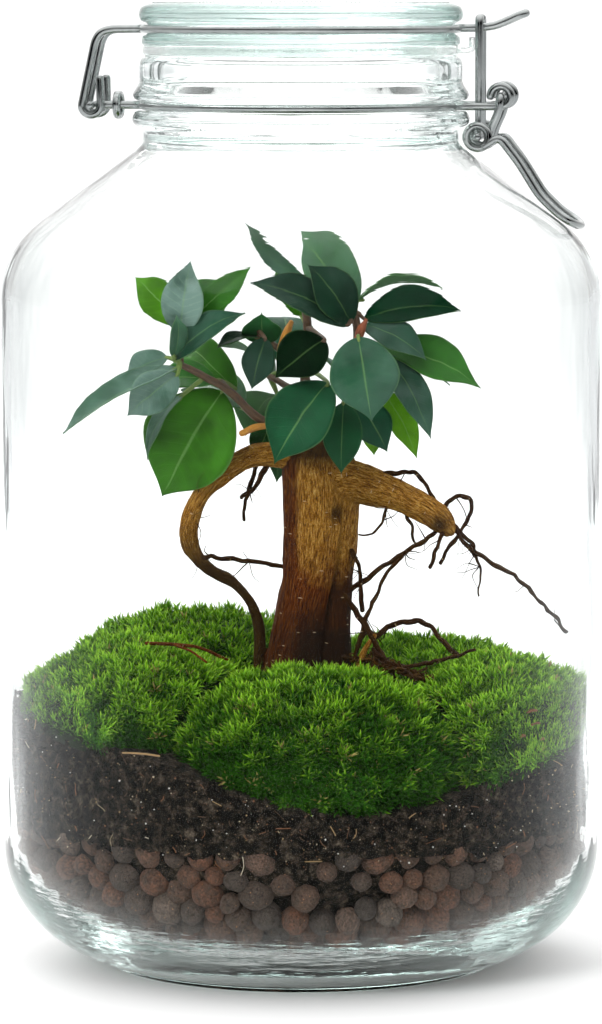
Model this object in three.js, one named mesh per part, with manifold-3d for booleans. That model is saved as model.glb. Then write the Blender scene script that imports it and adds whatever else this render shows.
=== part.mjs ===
// A planted glass terrarium: a clip-top jar with clay pebbles, potting soil, moss cushions
// and a small ficus with thick aerial roots.
// Millimetres, +Z up. The origin is the middle of the foot ring, on the surface that it stands on.
// +X points to the clip, -X to the lid's hinge, and -Y to the front.
import * as THREE from 'three';
import { mergeVertices } from 'three/addons/utils/BufferGeometryUtils.js';
import Module from 'manifold-3d';

const wasm = await Module();
wasm.setup();

// Driving dimensions of the jar
const BODY_RADIUS = 91.3;
const WALL = 3;
const FOOT_OUTER = 60.5;
const FOOT_INNER = 56;
const PUNT_HEIGHT = 4.5;
const HEEL_CENTRE = 50;
const HEEL_HEIGHT = 36;
const FLOOR = 7.5;
const INNER_HEEL_TOP = 38;
const SHOULDER_RADIUS = 29;
const SHOULDER_BASE = 202.9;
const SHOULDER_TURN = THREE.MathUtils.degToRad(53.1);
const LIP = 276.8;
const MOUTH_RADIUS = 43;
const GROOVE_RADIUS = 46.4;
const JAR_SIDES = 32;

// Driving dimensions of the lid, the gasket and the wires
const GASKET = 3;
const GASKET_RADIUS = 48;
const FLANGE = LIP + GASKET;
const LID_TOP = 293;
const PLUG_DEPTH = 3;
const WIRE = 2.5;
const WIRE_RADIUS = WIRE / 2;
const WIRE_SIDES = 6;
const RING_RADIUS = 47.95;
const RING_STEPS = JAR_SIDES;
const NECK_WIRE_HEIGHT = 261.6;
const LID_WIRE_HEIGHT = 284.7;
const GAP = 0.35;

// The hinge at the left and the clip at the right, as places in X and Z
const HINGE_X = -63.3;
const HINGE_Z = NECK_WIRE_HEIGHT;
const HINGE_ARM_Y = 3;
const HINGE_PIN_END = 9;
const CURL_Y = 7;
const CURL_RADIUS = 2.9;
const EYE_RADIUS = 3.05;
const PIVOT_X = 61.3;
const PIVOT_Z = NECK_WIRE_HEIGHT + EYE_RADIUS;
const EYE_Y = 9.6;
const PIVOT_PIN_START = 8.1;
const LEVER_Y = 12.5;
const COIL_X = 54.6;
const COIL_Z = 252.5;
const COIL_RADIUS = 3.4;
const LINK_Y = 6.4;
const LINK_BAR_END = 15;
const LINK_TOP = 287.95;
const HOOK_END = 3.9;
const BEAK_Y = 2.2;

// The planting is turned a little in the jar, and measured in its own turned frame
const PLANTING_TURN = THREE.MathUtils.degToRad(6);
const CAVITY_RADIUS = 87.5;
const SOIL_SIDES = 40;
const PEBBLE_TOP = 46;
const SOIL_BOTTOM = PEBBLE_TOP + GAP;
const SOIL_LEVEL = 80;
const BLADE = 0.7;

const FULL_TURN = 2 * Math.PI;

// A seeded draw, so that every build is the same
function seededDraw(seed) {
  let state = seed;
  return () => {
    state = (state * 1664525 + 1013904223) % 4294967296;
    return state / 4294967296;
  };
}

// Between a three.js geometry and a solid that can be joined and cut
function solid(geometry) {
  const bare = geometry.clone();
  bare.deleteAttribute('normal');
  bare.deleteAttribute('uv');
  const merged = mergeVertices(bare, 1e-4);
  const points = merged.getAttribute('position');
  const triangles = [];
  let volume = 0;
  const corners = [new THREE.Vector3(), new THREE.Vector3(), new THREE.Vector3()];
  for (let i = 0; i < merged.index.count; i += 3) {
    const face = [0, 1, 2].map((k) => merged.index.getX(i + k));
    if (new Set(face).size < 3) continue;
    triangles.push(face);
    face.forEach((vertex, k) => corners[k].fromBufferAttribute(points, vertex));
    volume += corners[0].dot(corners[1].clone().cross(corners[2]));
  }
  const ordered = volume < 0 ? triangles.map(([a, b, c]) => [a, c, b]) : triangles;
  const mesh = new wasm.Mesh({
    numProp: 3,
    vertProperties: new Float32Array(points.array),
    triVerts: new Uint32Array(ordered.flat()),
  });
  return new wasm.Manifold(mesh);
}

function geometryOf(body) {
  const { vertProperties, triVerts } = body.getMesh();
  const geometry = new THREE.BufferGeometry();
  geometry.setAttribute('position', new THREE.BufferAttribute(new Float32Array(vertProperties), 3));
  geometry.setIndex(new THREE.BufferAttribute(new Uint32Array(triVerts), 1));
  return geometry;
}

function fuse(bodies) {
  return bodies.reduce((sum, body) => sum.add(body));
}

// The largest piece of a cut solid; loose scraps are dropped
function largest(body) {
  const pieces = body.decompose();
  return pieces.reduce((best, piece) => (piece.volume() > best.volume() ? piece : best));
}

function turned(points, sides) {
  const profile = points.map(([radius, height]) => new THREE.Vector2(radius, height));
  return solid(new THREE.LatheGeometry(profile, sides).rotateX(Math.PI / 2));
}

function box(low, high) {
  const size = high.map((value, k) => value - low[k]);
  const middle = high.map((value, k) => (value + low[k]) / 2);
  return solid(new THREE.BoxGeometry(...size).translate(...middle));
}

// Points on a round stretch of a profile or a wire, as pairs
function arc(centreA, centreB, radiusA, radiusB, from, to, steps) {
  return Array.from({ length: steps + 1 }, (_, i) => {
    const angle = THREE.MathUtils.degToRad(from + ((to - from) * i) / steps);
    return [centreA + radiusA * Math.cos(angle), centreB + radiusB * Math.sin(angle)];
  });
}

// A route whose cross sections stand at its named points
class Route extends THREE.CatmullRomCurve3 {
  getUtoTmapping(share) {
    return share;
  }
}

function wire(points, radius = WIRE_RADIUS, sides = WIRE_SIDES) {
  const section = arc(0, 0, radius, radius, 0, 360, sides).slice(0, sides);
  const shape = new THREE.Shape(section.map(([a, b]) => new THREE.Vector2(a, b)));
  const route = new Route(points.map((point) => new THREE.Vector3(...point)));
  return solid(new THREE.ExtrudeGeometry(shape, {
    steps: points.length - 1,
    bevelEnabled: false,
    extrudePath: route,
  }));
}

function wireRing(height) {
  const ring = new THREE.TorusGeometry(RING_RADIUS, WIRE_RADIUS, WIRE_SIDES, RING_STEPS);
  return solid(ring.translate(0, 0, height));
}

// A tapering limb through stations of x, y, z and radius, made fatter and longer by grow
function limb(stations, sides, grow = 0) {
  const places = stations.map(([x, y, z]) => new THREE.Vector3(x, y, z));
  const last = places.length - 1;
  const start = places[0].clone().sub(places[1]).setLength(grow);
  const end = places[last].clone().sub(places[last - 1]).setLength(grow);
  places[0].add(start);
  places[last].add(end);
  const frames = new Route(places).computeFrenetFrames(last, false);
  const points = [];
  places.forEach((place, i) => {
    for (let k = 0; k < sides; k += 1) {
      const angle = (FULL_TURN * k) / sides;
      const radius = stations[i][3] + grow;
      points.push(place.clone()
        .addScaledVector(frames.normals[i], radius * Math.cos(angle))
        .addScaledVector(frames.binormals[i], radius * Math.sin(angle)));
    }
  });
  const faces = [];
  for (let i = 0; i < last; i += 1) {
    for (let k = 0; k < sides; k += 1) {
      const next = (k + 1) % sides;
      const a = i * sides + k;
      const b = i * sides + next;
      faces.push(a, b, b + sides, a, b + sides, a + sides);
    }
  }
  for (let k = 1; k < sides - 1; k += 1) {
    faces.push(0, k + 1, k);
    faces.push(last * sides, last * sides + k, last * sides + k + 1);
  }
  return solid(indexed(points, faces));
}

function indexed(points, faces) {
  const geometry = new THREE.BufferGeometry().setFromPoints(points);
  geometry.setIndex(faces);
  return geometry;
}

const group = new THREE.Group();
const planting = new THREE.Group();
planting.rotation.z = PLANTING_TURN;
group.add(planting);

function addPart(parent, name, body, look) {
  const mesh = new THREE.Mesh(geometryOf(body), new THREE.MeshStandardMaterial(look));
  mesh.name = name;
  parent.add(mesh);
}

const GLASS = { color: 0xe6efec, roughness: 0.05, metalness: 0, transparent: true, opacity: 0.35 };
const STEEL = { color: 0xb4b6b4, roughness: 0.3, metalness: 1 };
const RUBBER = { color: 0xdfe6e0, roughness: 0.4, metalness: 0 };
const CLAY = { color: 0x6e4c3c, roughness: 0.9, metalness: 0 };
const SOIL = { color: 0x3a322c, roughness: 1, metalness: 0 };
const MOSS = { color: 0x4f8a1e, roughness: 0.9, metalness: 0 };
const BARK = { color: 0x8a5a30, roughness: 0.85, metalness: 0 };
const LEAF = { color: 0x1f5a3a, roughness: 0.35, metalness: 0 };

// The jar
const shoulderArc = (radius) => arc(
  BODY_RADIUS - SHOULDER_RADIUS, SHOULDER_BASE, radius, radius,
  0, THREE.MathUtils.radToDeg(SHOULDER_TURN), 3,
);

function glassJar() {
  const heel = arc(HEEL_CENTRE, HEEL_HEIGHT, BODY_RADIUS - HEEL_CENTRE, HEEL_HEIGHT, -75, 0, 5);
  const innerRadius = BODY_RADIUS - WALL;
  const innerHeel = arc(
    HEEL_CENTRE, INNER_HEEL_TOP, innerRadius - HEEL_CENTRE, INNER_HEEL_TOP - FLOOR, 0, -90, 4,
  );
  const outside = [
    [0, PUNT_HEIGHT],
    [FOOT_INNER - 5, PUNT_HEIGHT],
    [FOOT_INNER, 0],
    [FOOT_OUTER, 0],
    ...heel,
    ...shoulderArc(SHOULDER_RADIUS),
  ];
  const neck = [
    [50.8, 247.8],
    [47.9, 250.5],
    [47.9, 254.2],
    [51, 256],
    [51.4, 258],
    [50.4, NECK_WIRE_HEIGHT - WIRE_RADIUS - GAP],
    [GROOVE_RADIUS, NECK_WIRE_HEIGHT - WIRE_RADIUS - GAP],
    [GROOVE_RADIUS, NECK_WIRE_HEIGHT + WIRE_RADIUS + GAP],
    [50.4, NECK_WIRE_HEIGHT + WIRE_RADIUS + GAP],
    [51.3, 265],
    [49, 268.6],
    [49, 275],
    [47.6, LIP],
    [44.4, LIP],
    [MOUTH_RADIUS, 275.4],
    [MOUTH_RADIUS, 253],
    [46.4, 247.4],
  ];
  const inside = [...shoulderArc(SHOULDER_RADIUS - WALL).reverse(), ...innerHeel, [0, FLOOR]];
  return turned([...outside, ...neck, ...inside], JAR_SIDES);
}

// The neck wire: a ring in the groove, two arms that end as hinge pins, and two eyes for the lever
function neckRing() {
  const pieces = [wireRing(NECK_WIRE_HEIGHT)];
  for (const side of [-1, 1]) {
    pieces.push(wire([
      [-RING_RADIUS + 1, side * HINGE_ARM_Y, HINGE_Z],
      [HINGE_X + 2, side * HINGE_ARM_Y, HINGE_Z],
      [HINGE_X + 0.6, side * (HINGE_ARM_Y + 0.6), HINGE_Z],
      [HINGE_X, side * (HINGE_ARM_Y + 2), HINGE_Z],
      [HINGE_X, side * HINGE_PIN_END, HINGE_Z],
    ]));
    const eye = arc(PIVOT_X, PIVOT_Z, EYE_RADIUS, EYE_RADIUS, -90, 180, 9);
    pieces.push(wire([
      [RING_RADIUS - 2, side * EYE_Y, NECK_WIRE_HEIGHT],
      [PIVOT_X - 4, side * EYE_Y, NECK_WIRE_HEIGHT],
      ...eye.map(([x, z]) => [x, side * EYE_Y, z]),
    ]));
  }
  return fuse(pieces);
}

// An oval band that keeps the two hinge arms of the neck wire together
function hingeCollar() {
  const halfWidth = 5.9;
  const halfHeight = 4.4;
  const band = 1.3;
  const length = 2.7;
  const outer = new THREE.Shape().absellipse(0, 0, halfWidth, halfHeight, 0, FULL_TURN);
  const inner = new THREE.Path().absellipse(
    0, 0, halfWidth - band, halfHeight - band, 0, FULL_TURN,
  );
  outer.holes.push(inner);
  const extruded = new THREE.ExtrudeGeometry(outer, {
    depth: length,
    bevelEnabled: false,
    curveSegments: 10,
  });
  return solid(extruded.rotateX(Math.PI / 2).rotateZ(Math.PI / 2).translate(-57.5, 0, HINGE_Z));
}

function glassLid() {
  const top = 291.6;
  return turned([
    [0, LIP - 1],
    [36, LIP - 1],
    [38, LIP - PLUG_DEPTH],
    [40, LIP - PLUG_DEPTH],
    [41.2, FLANGE],
    [48.3, FLANGE],
    [48.3, 282.6],
    [GROOVE_RADIUS, LID_WIRE_HEIGHT - WIRE_RADIUS - GAP],
    [GROOVE_RADIUS, LID_WIRE_HEIGHT + WIRE_RADIUS + GAP],
    [48.8, 287.2],
    [49.3, 289.4],
    [48.6, 291.6],
    [46.4, LID_TOP],
    [43, LID_TOP],
    [41, top],
    [0, top],
  ], JAR_SIDES);
}

// A flat sealing ring with a pull tab that turns up between the legs of the clip
function gasketRing() {
  const inner = 42.2;
  const ring = turned([
    [inner, LIP],
    [GASKET_RADIUS, LIP],
    [GASKET_RADIUS, FLANGE],
    [inner, FLANGE],
    [inner, LIP],
  ], JAR_SIDES);
  const halfTab = 3.6;
  const tongue = box([46, -halfTab, LIP + 0.4], [53, halfTab, FLANGE - 0.4]);
  const lip = box([51.2, -halfTab, LIP + 0.4], [53, halfTab, FLANGE + 2.8]);
  return fuse([ring, tongue, lip]);
}

// The lid wire: a ring in the lid's groove, two arms that curl round the pins, and the beak
function lidWire() {
  const pieces = [wireRing(LID_WIRE_HEIGHT)];
  for (const side of [-1, 1]) {
    const curl = arc(HINGE_X, HINGE_Z, CURL_RADIUS, CURL_RADIUS, -172, 0, 6);
    pieces.push(wire([
      [-RING_RADIUS + 1, side * (CURL_Y - 1), LID_WIRE_HEIGHT],
      [-57.5, side * CURL_Y, LID_WIRE_HEIGHT],
      [-60.6, side * CURL_Y, LID_WIRE_HEIGHT - 1.1],
      [-62.2, side * CURL_Y, LID_WIRE_HEIGHT - 3.6],
      ...curl.map(([x, z]) => [x, side * CURL_Y, z]),
      [HINGE_X + 2.7, side * CURL_Y, HINGE_Z + 8],
    ]));
  }
  const half = [[46.6, 284.9], [54.8, 285.1], [59, 285.7], [62.8, 287.2], [66, 288.7]];
  const tip = arc(66, 0, BEAK_Y, BEAK_Y, -60, 60, 4);
  pieces.push(wire([
    ...half.map(([x, z]) => [x, -BEAK_Y, z]),
    ...tip.map(([x, y]) => [x, y, 288.7 + (x - 66) * 0.35]),
    ...half.reverse().map(([x, z]) => [x, BEAK_Y, z]),
  ]));
  return fuse(pieces);
}

// The lever: pins in the eyes, a coil round the link's bar on each side, and a loop for the finger
function clipLever() {
  const handle = [[57, 255], [60.2, 253.7], [67, 244.8], [73, 235.2], [78.5, 229.8], [81.5, 227.8]];
  const pieces = [];
  for (const side of [-1, 1]) {
    pieces.push(wire([
      [PIVOT_X, side * PIVOT_PIN_START, PIVOT_Z],
      [PIVOT_X, side * (LEVER_Y - 1.4), PIVOT_Z],
      [PIVOT_X, side * LEVER_Y, PIVOT_Z - 1.2],
      [PIVOT_X - 0.8, side * LEVER_Y, 260],
      [58.2, side * LEVER_Y, 254],
    ]));
    const coil = new THREE.TorusGeometry(COIL_RADIUS, WIRE_RADIUS, WIRE_SIDES, 12);
    pieces.push(solid(coil.rotateX(Math.PI / 2).translate(COIL_X, side * LEVER_Y, COIL_Z)));
  }
  const end = arc(81.5, 0, 3.6, LEVER_Y, -75, 75, 6);
  pieces.push(wire([
    ...handle.map(([x, z]) => [x, -LEVER_Y, z]),
    ...end.map(([x, y]) => [x, y, 227.8 - (x - 81.5) * 0.6]),
    ...handle.reverse().map(([x, z]) => [x, LEVER_Y, z]),
  ]));
  return fuse(pieces);
}

// The link: a bar through the coils and two legs. Its top bar is opened over the beak, as two hooks.
function clipLink() {
  const pieces = [wire([[COIL_X, -LINK_BAR_END, COIL_Z], [COIL_X, LINK_BAR_END, COIL_Z]])];
  for (const side of [-1, 1]) {
    pieces.push(wire([
      [COIL_X, side * LINK_Y, COIL_Z],
      [COIL_X, side * LINK_Y, LINK_TOP - 2],
      [COIL_X, side * (LINK_Y - 0.6), LINK_TOP - 0.6],
      [COIL_X, side * (LINK_Y - 1.6), LINK_TOP],
      [COIL_X, side * HOOK_END, LINK_TOP],
    ]));
  }
  return fuse(pieces);
}

addPart(group, 'glass_jar', glassJar(), GLASS);
addPart(group, 'neck_ring', neckRing(), STEEL);
addPart(group, 'hinge_collar', hingeCollar(), STEEL);
addPart(group, 'glass_lid', glassLid(), GLASS);
addPart(group, 'gasket', gasketRing(), RUBBER);
addPart(group, 'lid_wire', lidWire(), STEEL);
addPart(group, 'clip_lever', clipLever(), STEEL);
addPart(group, 'clip_link', clipLink(), STEEL);

// Clay pebbles, raised from the layer's outer surface: a peak for each pebble, with hollows between
// them. The rows follow the heel of the jar, and every other row is shifted by half a pebble.
function pebbleLayer() {
  const columns = 30;
  const rows = 4;
  const wall = arc(
    HEEL_CENTRE, INNER_HEEL_TOP, CAVITY_RADIUS - HEEL_CENTRE, INNER_HEEL_TOP - FLOOR - GAP, -80, 0, 6,
  );
  const stations = [...wall, [CAVITY_RADIUS, 42], [CAVITY_RADIUS, PEBBLE_TOP]];
  const draw = seededDraw(11);
  const points = [new THREE.Vector3(0, 0, FLOOR + GAP)];
  for (let level = 0; level <= 2 * rows; level += 1) {
    const [radius, height] = stations[level];
    for (let column = 0; column < 2 * columns; column += 1) {
      const isMiddle = level % 2 === 1;
      const isPeak = isMiddle && (column + (level - 1) / 2) % 2 === 0;
      const hollow = isMiddle ? 3 : 3.6;
      const reach = radius - 0.7 - 0.6 * draw() - (isPeak ? 0 : hollow);
      const angle = (FULL_TURN * (column + 0.3 * (draw() - 0.5))) / (2 * columns);
      points.push(new THREE.Vector3(reach * Math.cos(angle), reach * Math.sin(angle), height));
    }
  }
  points.push(new THREE.Vector3(0, 0, PEBBLE_TOP));
  return solid(indexed(points, stackFaces(points.length, 2 * columns)));
}

// Faces of a closed stack of rings between a lowest and a highest point
function stackFaces(pointCount, sides) {
  const levels = (pointCount - 2) / sides;
  const top = pointCount - 1;
  const faces = [];
  for (let k = 0; k < sides; k += 1) {
    const next = (k + 1) % sides;
    faces.push(0, 1 + next, 1 + k);
    for (let level = 0; level < levels - 1; level += 1) {
      const low = 1 + level * sides;
      const high = low + sides;
      faces.push(low + k, high + next, high + k, low + k, low + next, high + next);
    }
    const last = 1 + (levels - 1) * sides;
    faces.push(last + k, last + next, top);
  }
  return faces;
}

// Height of the soil: a level bed, lower at the front, where a cushion of moss reaches the glass
function soilHeight(x, y) {
  const front = THREE.MathUtils.clamp((-y - 25) / 60, 0, 1);
  const hollow = 19 * front * Math.exp(-((x - 16) ** 2) / 3200);
  const right = 8 * THREE.MathUtils.clamp(x / 90, 0, 1);
  return SOIL_LEVEL + 0.04 * y - hollow - right + 0.8 * Math.sin(x / 9) * Math.cos(y / 11);
}

function soilBed(grow = 0) {
  const rings = [24, 46, 66, CAVITY_RADIUS];
  const points = [new THREE.Vector3(0, 0, SOIL_BOTTOM)];
  const ringPoints = (radius, height) => {
    for (let k = 0; k < SOIL_SIDES; k += 1) {
      const angle = (FULL_TURN * k) / SOIL_SIDES;
      const x = radius * Math.cos(angle);
      const y = radius * Math.sin(angle);
      points.push(new THREE.Vector3(x, y, height ?? soilHeight(x, y) + grow));
    }
  };
  const outer = CAVITY_RADIUS + 2 * grow;
  ringPoints(outer, SOIL_BOTTOM);
  ringPoints(outer);
  rings.slice(0, -1).reverse().forEach((radius) => ringPoints(radius));
  points.push(new THREE.Vector3(0, 0, soilHeight(0, 0) + grow));
  return solid(indexed(points, stackFaces(points.length, SOIL_SIDES)));
}

// The ficus: fused trunk lobes, a thick arm at the right, an arched root at the left, thin roots
const TRUNK_LIMBS = [
  [[-2, -1, 66, 7], [-1, -3, 88, 9.8], [1.5, -3, 112, 9.2], [3.6, -2, 128, 8.8], [4.4, -1, 142, 9.6],
    [4, 0, 153, 9.2], [6, 0, 161, 6.6], [6.5, 0, 166, 4]],
  [[8, 3, 66, 6], [7, 2, 88, 8.2], [8.4, 3, 110, 7.8], [10, 2, 126, 6.6], [10, 1, 142, 8],
    [12, -1, 151, 5]],
];
const THICK_ROOTS = [
  [[5, 0, 146, 8.4], [15, -2, 147.3, 6.4], [22.6, -4, 145.5, 5.6], [30, -6, 143, 4.9],
    [38, -8, 139.8, 4], [43, -9, 137.4, 3.5], [46.8, -10, 135.2, 2]],
  [[2, 0, 152, 4.6], [-5, -2, 155, 4], [-13, -4, 155, 3.4], [-19, -6, 153, 3.2], [-25, -8, 149.2, 3],
    [-30, -9, 144, 3], [-33, -9, 138, 3], [-34, -8, 131.5, 2.9], [-32.3, -7, 125.5, 2.7],
    [-27.5, -6, 120.8, 2.2], [-21, -4, 117, 2.1], [-16.2, -2, 112, 2.2], [-13.6, 0, 105.7, 2.3],
    [-12.4, 1, 97, 2.3], [-12.4, 1, 80, 2]],
];
const THIN_ROOTS = [
  [[-32, -8, 125.5, 1], [-27, -8, 124.8, 0.9], [-16, -5, 123.6, 0.9], [-2, -1, 121, 0.8]],
  [[43, -9, 138.5, 1], [46.8, -11, 143, 0.9], [50.4, -12, 143, 0.9], [52, -11, 139.6, 0.9],
    [49.8, -10, 134.4, 0.8], [42, -11, 123.4, 0.7]],
  [[45, -10, 136, 1], [53, -14, 126.4, 0.9], [67.3, -17, 117.5, 0.8], [76.4, -18, 107, 0.7],
    [79.7, -18, 103, 0.7]],
  [[44, -9, 136, 1], [37.8, -8, 129.7, 0.9], [21.7, -4, 119, 1], [13, -2, 111.5, 1]],
  [[32, -6.4, 126, 0.8], [25.6, -8, 118.3, 0.8], [20, -10, 106, 0.8], [17, -9, 94, 0.8]],
  [[13, -4, 113.6, 1.1], [20.4, -11, 103, 1.1], [24.6, -14, 95, 1], [30, -17, 86, 1]],
  [[20.6, -11.2, 102, 1.1], [23, -10, 100.6, 1.1], [26.5, -9, 103, 1], [31.7, -10, 105, 1],
    [37.7, -12, 104.8, 1], [44.4, -14, 98.6, 1], [52, -16, 90, 0.9]],
  [[25, -5, 149.5, 1], [31.7, -5, 150.4, 0.9], [36.9, -6, 148.4, 0.8], [41, -8.4, 140, 0.8]],
  [[-13, -3, 154, 1], [-15.6, -1, 144.5, 0.8], [-17.4, 0, 135, 0.7]],
  [[-9, -3, 154, 1.1], [-14, -4, 145.6, 1], [-18.4, -6, 142.4, 0.9]],
  [[45, -10, 135, 0.9], [42, -13, 130, 0.7], [39.6, -15, 122, 0.7]],
  [[15.6, -4, 126.4, 0.8], [18, -5, 120, 0.7], [18.8, -5, 108, 0.7]],
];

function ficusTrunk(grow = 0) {
  return fuse([
    ...TRUNK_LIMBS.map((stations) => limb(stations, 10, grow)),
    ...THICK_ROOTS.map((stations) => limb(stations, 7, grow)),
    ...THIN_ROOTS.map((stations) => limb(stations, 4, grow)),
  ]);
}

// Moss cushions, laid in order; each is cut clear of the soil, the trunk and the ones before it
const CUSHIONS = [
  { name: 'moss_front', centre: [3, -50, 66], size: [47, 37, 30] },
  { name: 'moss_left', centre: [-49, -33, 76], size: [36, 36, 27] },
  { name: 'moss_right', centre: [60, -28, 70], size: [31, 42, 27] },
  { name: 'moss_back_left', centre: [-32, 34, 80], size: [42, 40, 24] },
  { name: 'moss_back_right', centre: [36, 38, 74], size: [44, 40, 21] },
];

function cushion({ centre, size }, seed, grow = 0) {
  const ball = new THREE.IcosahedronGeometry(1, 4);
  ball.deleteAttribute('normal');
  ball.deleteAttribute('uv');
  const merged = mergeVertices(ball, 1e-4);
  const points = merged.getAttribute('position');
  const draw = seededDraw(seed);
  const vertex = new THREE.Vector3();
  for (let i = 0; i < points.count; i += 1) {
    vertex.fromBufferAttribute(points, i);
    const tuft = 1 - 0.11 * draw();
    points.setXYZ(i, ...size.map((half, k) => (
      centre[k] + vertex.getComponent(k) * (half * tuft + grow)
    )));
  }
  return solid(merged);
}

function mossCushions(trunkClearance) {
  const cavity = turned([[0, 50], [CAVITY_RADIUS, 50], [CAVITY_RADIUS, 120], [0, 120]], SOIL_SIDES);
  const clearance = fuse([soilBed(GAP), trunkClearance]);
  CUSHIONS.forEach((place, index) => {
    let body = cushion(place, 20 + index).intersect(cavity).subtract(clearance);
    CUSHIONS.slice(0, index).forEach((earlier, order) => {
      body = body.subtract(cushion(earlier, 20 + order, GAP + 0.15));
    });
    addPart(planting, place.name, largest(body), MOSS);
  });
}

// A leaf blade from base to tip: folded along its midrib, arched, pointed at both ends.
// face is the way its upper side looks.
function blade({ base, tip, width, face, arch = 0.12, fold = 0.25 }) {
  const start = new THREE.Vector3(...base);
  const along = new THREE.Vector3(...tip).sub(start);
  const length = along.length();
  const across = along.clone().cross(new THREE.Vector3(...face)).normalize();
  const up = across.clone().cross(along).normalize();
  const shares = [0, 0.27, 0.68, 1];
  const spread = [0, 0.9, 0.88, 0];
  const points = [];
  const addPair = (point) => {
    points.push(point.clone().addScaledVector(up, BLADE / 2));
    points.push(point.clone().addScaledVector(up, -BLADE / 2));
  };
  shares.forEach((share, i) => {
    const rise = arch * length * 4 * share * (1 - share);
    const rib = start.clone().addScaledVector(along, share).addScaledVector(up, rise);
    addPair(rib);
    if (spread[i] === 0) return;
    for (const side of [-1, 1]) {
      const half = (side * width * spread[i]) / 2;
      addPair(rib.clone().addScaledVector(across, half).addScaledVector(up, fold * Math.abs(half)));
    }
  });
  const faces = [];
  const sheet = (a, b, c) => faces.push(a, b, c, a + 1, c + 1, b + 1);
  const rim = (a, b) => faces.push(a, a + 1, b + 1, a, b + 1, b);
  const rib = (i) => (i === 0 ? 0 : 2 + (i - 1) * 6);
  const last = shares.length - 1;
  for (const [offset, flip] of [[2, false], [4, true]]) {
    const put = (a, b, c) => (flip ? sheet(a, c, b) : sheet(a, b, c));
    const edge = (a, b) => (flip ? rim(b, a) : rim(a, b));
    put(rib(0), rib(1), rib(1) + offset);
    edge(rib(1) + offset, rib(0));
    for (let i = 1; i < last - 1; i += 1) {
      put(rib(i), rib(i + 1), rib(i + 1) + offset);
      put(rib(i), rib(i + 1) + offset, rib(i) + offset);
      edge(rib(i + 1) + offset, rib(i) + offset);
    }
    put(rib(last - 1), rib(last), rib(last - 1) + offset);
    edge(rib(last), rib(last - 1) + offset);
  }
  return solid(indexed(points, faces));
}

const TOWARD_FRONT = [0, -1, 0.3];
const UPWARD = [0, -0.35, 1];
const HALF_UP = [0, -0.8, 0.7];

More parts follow.
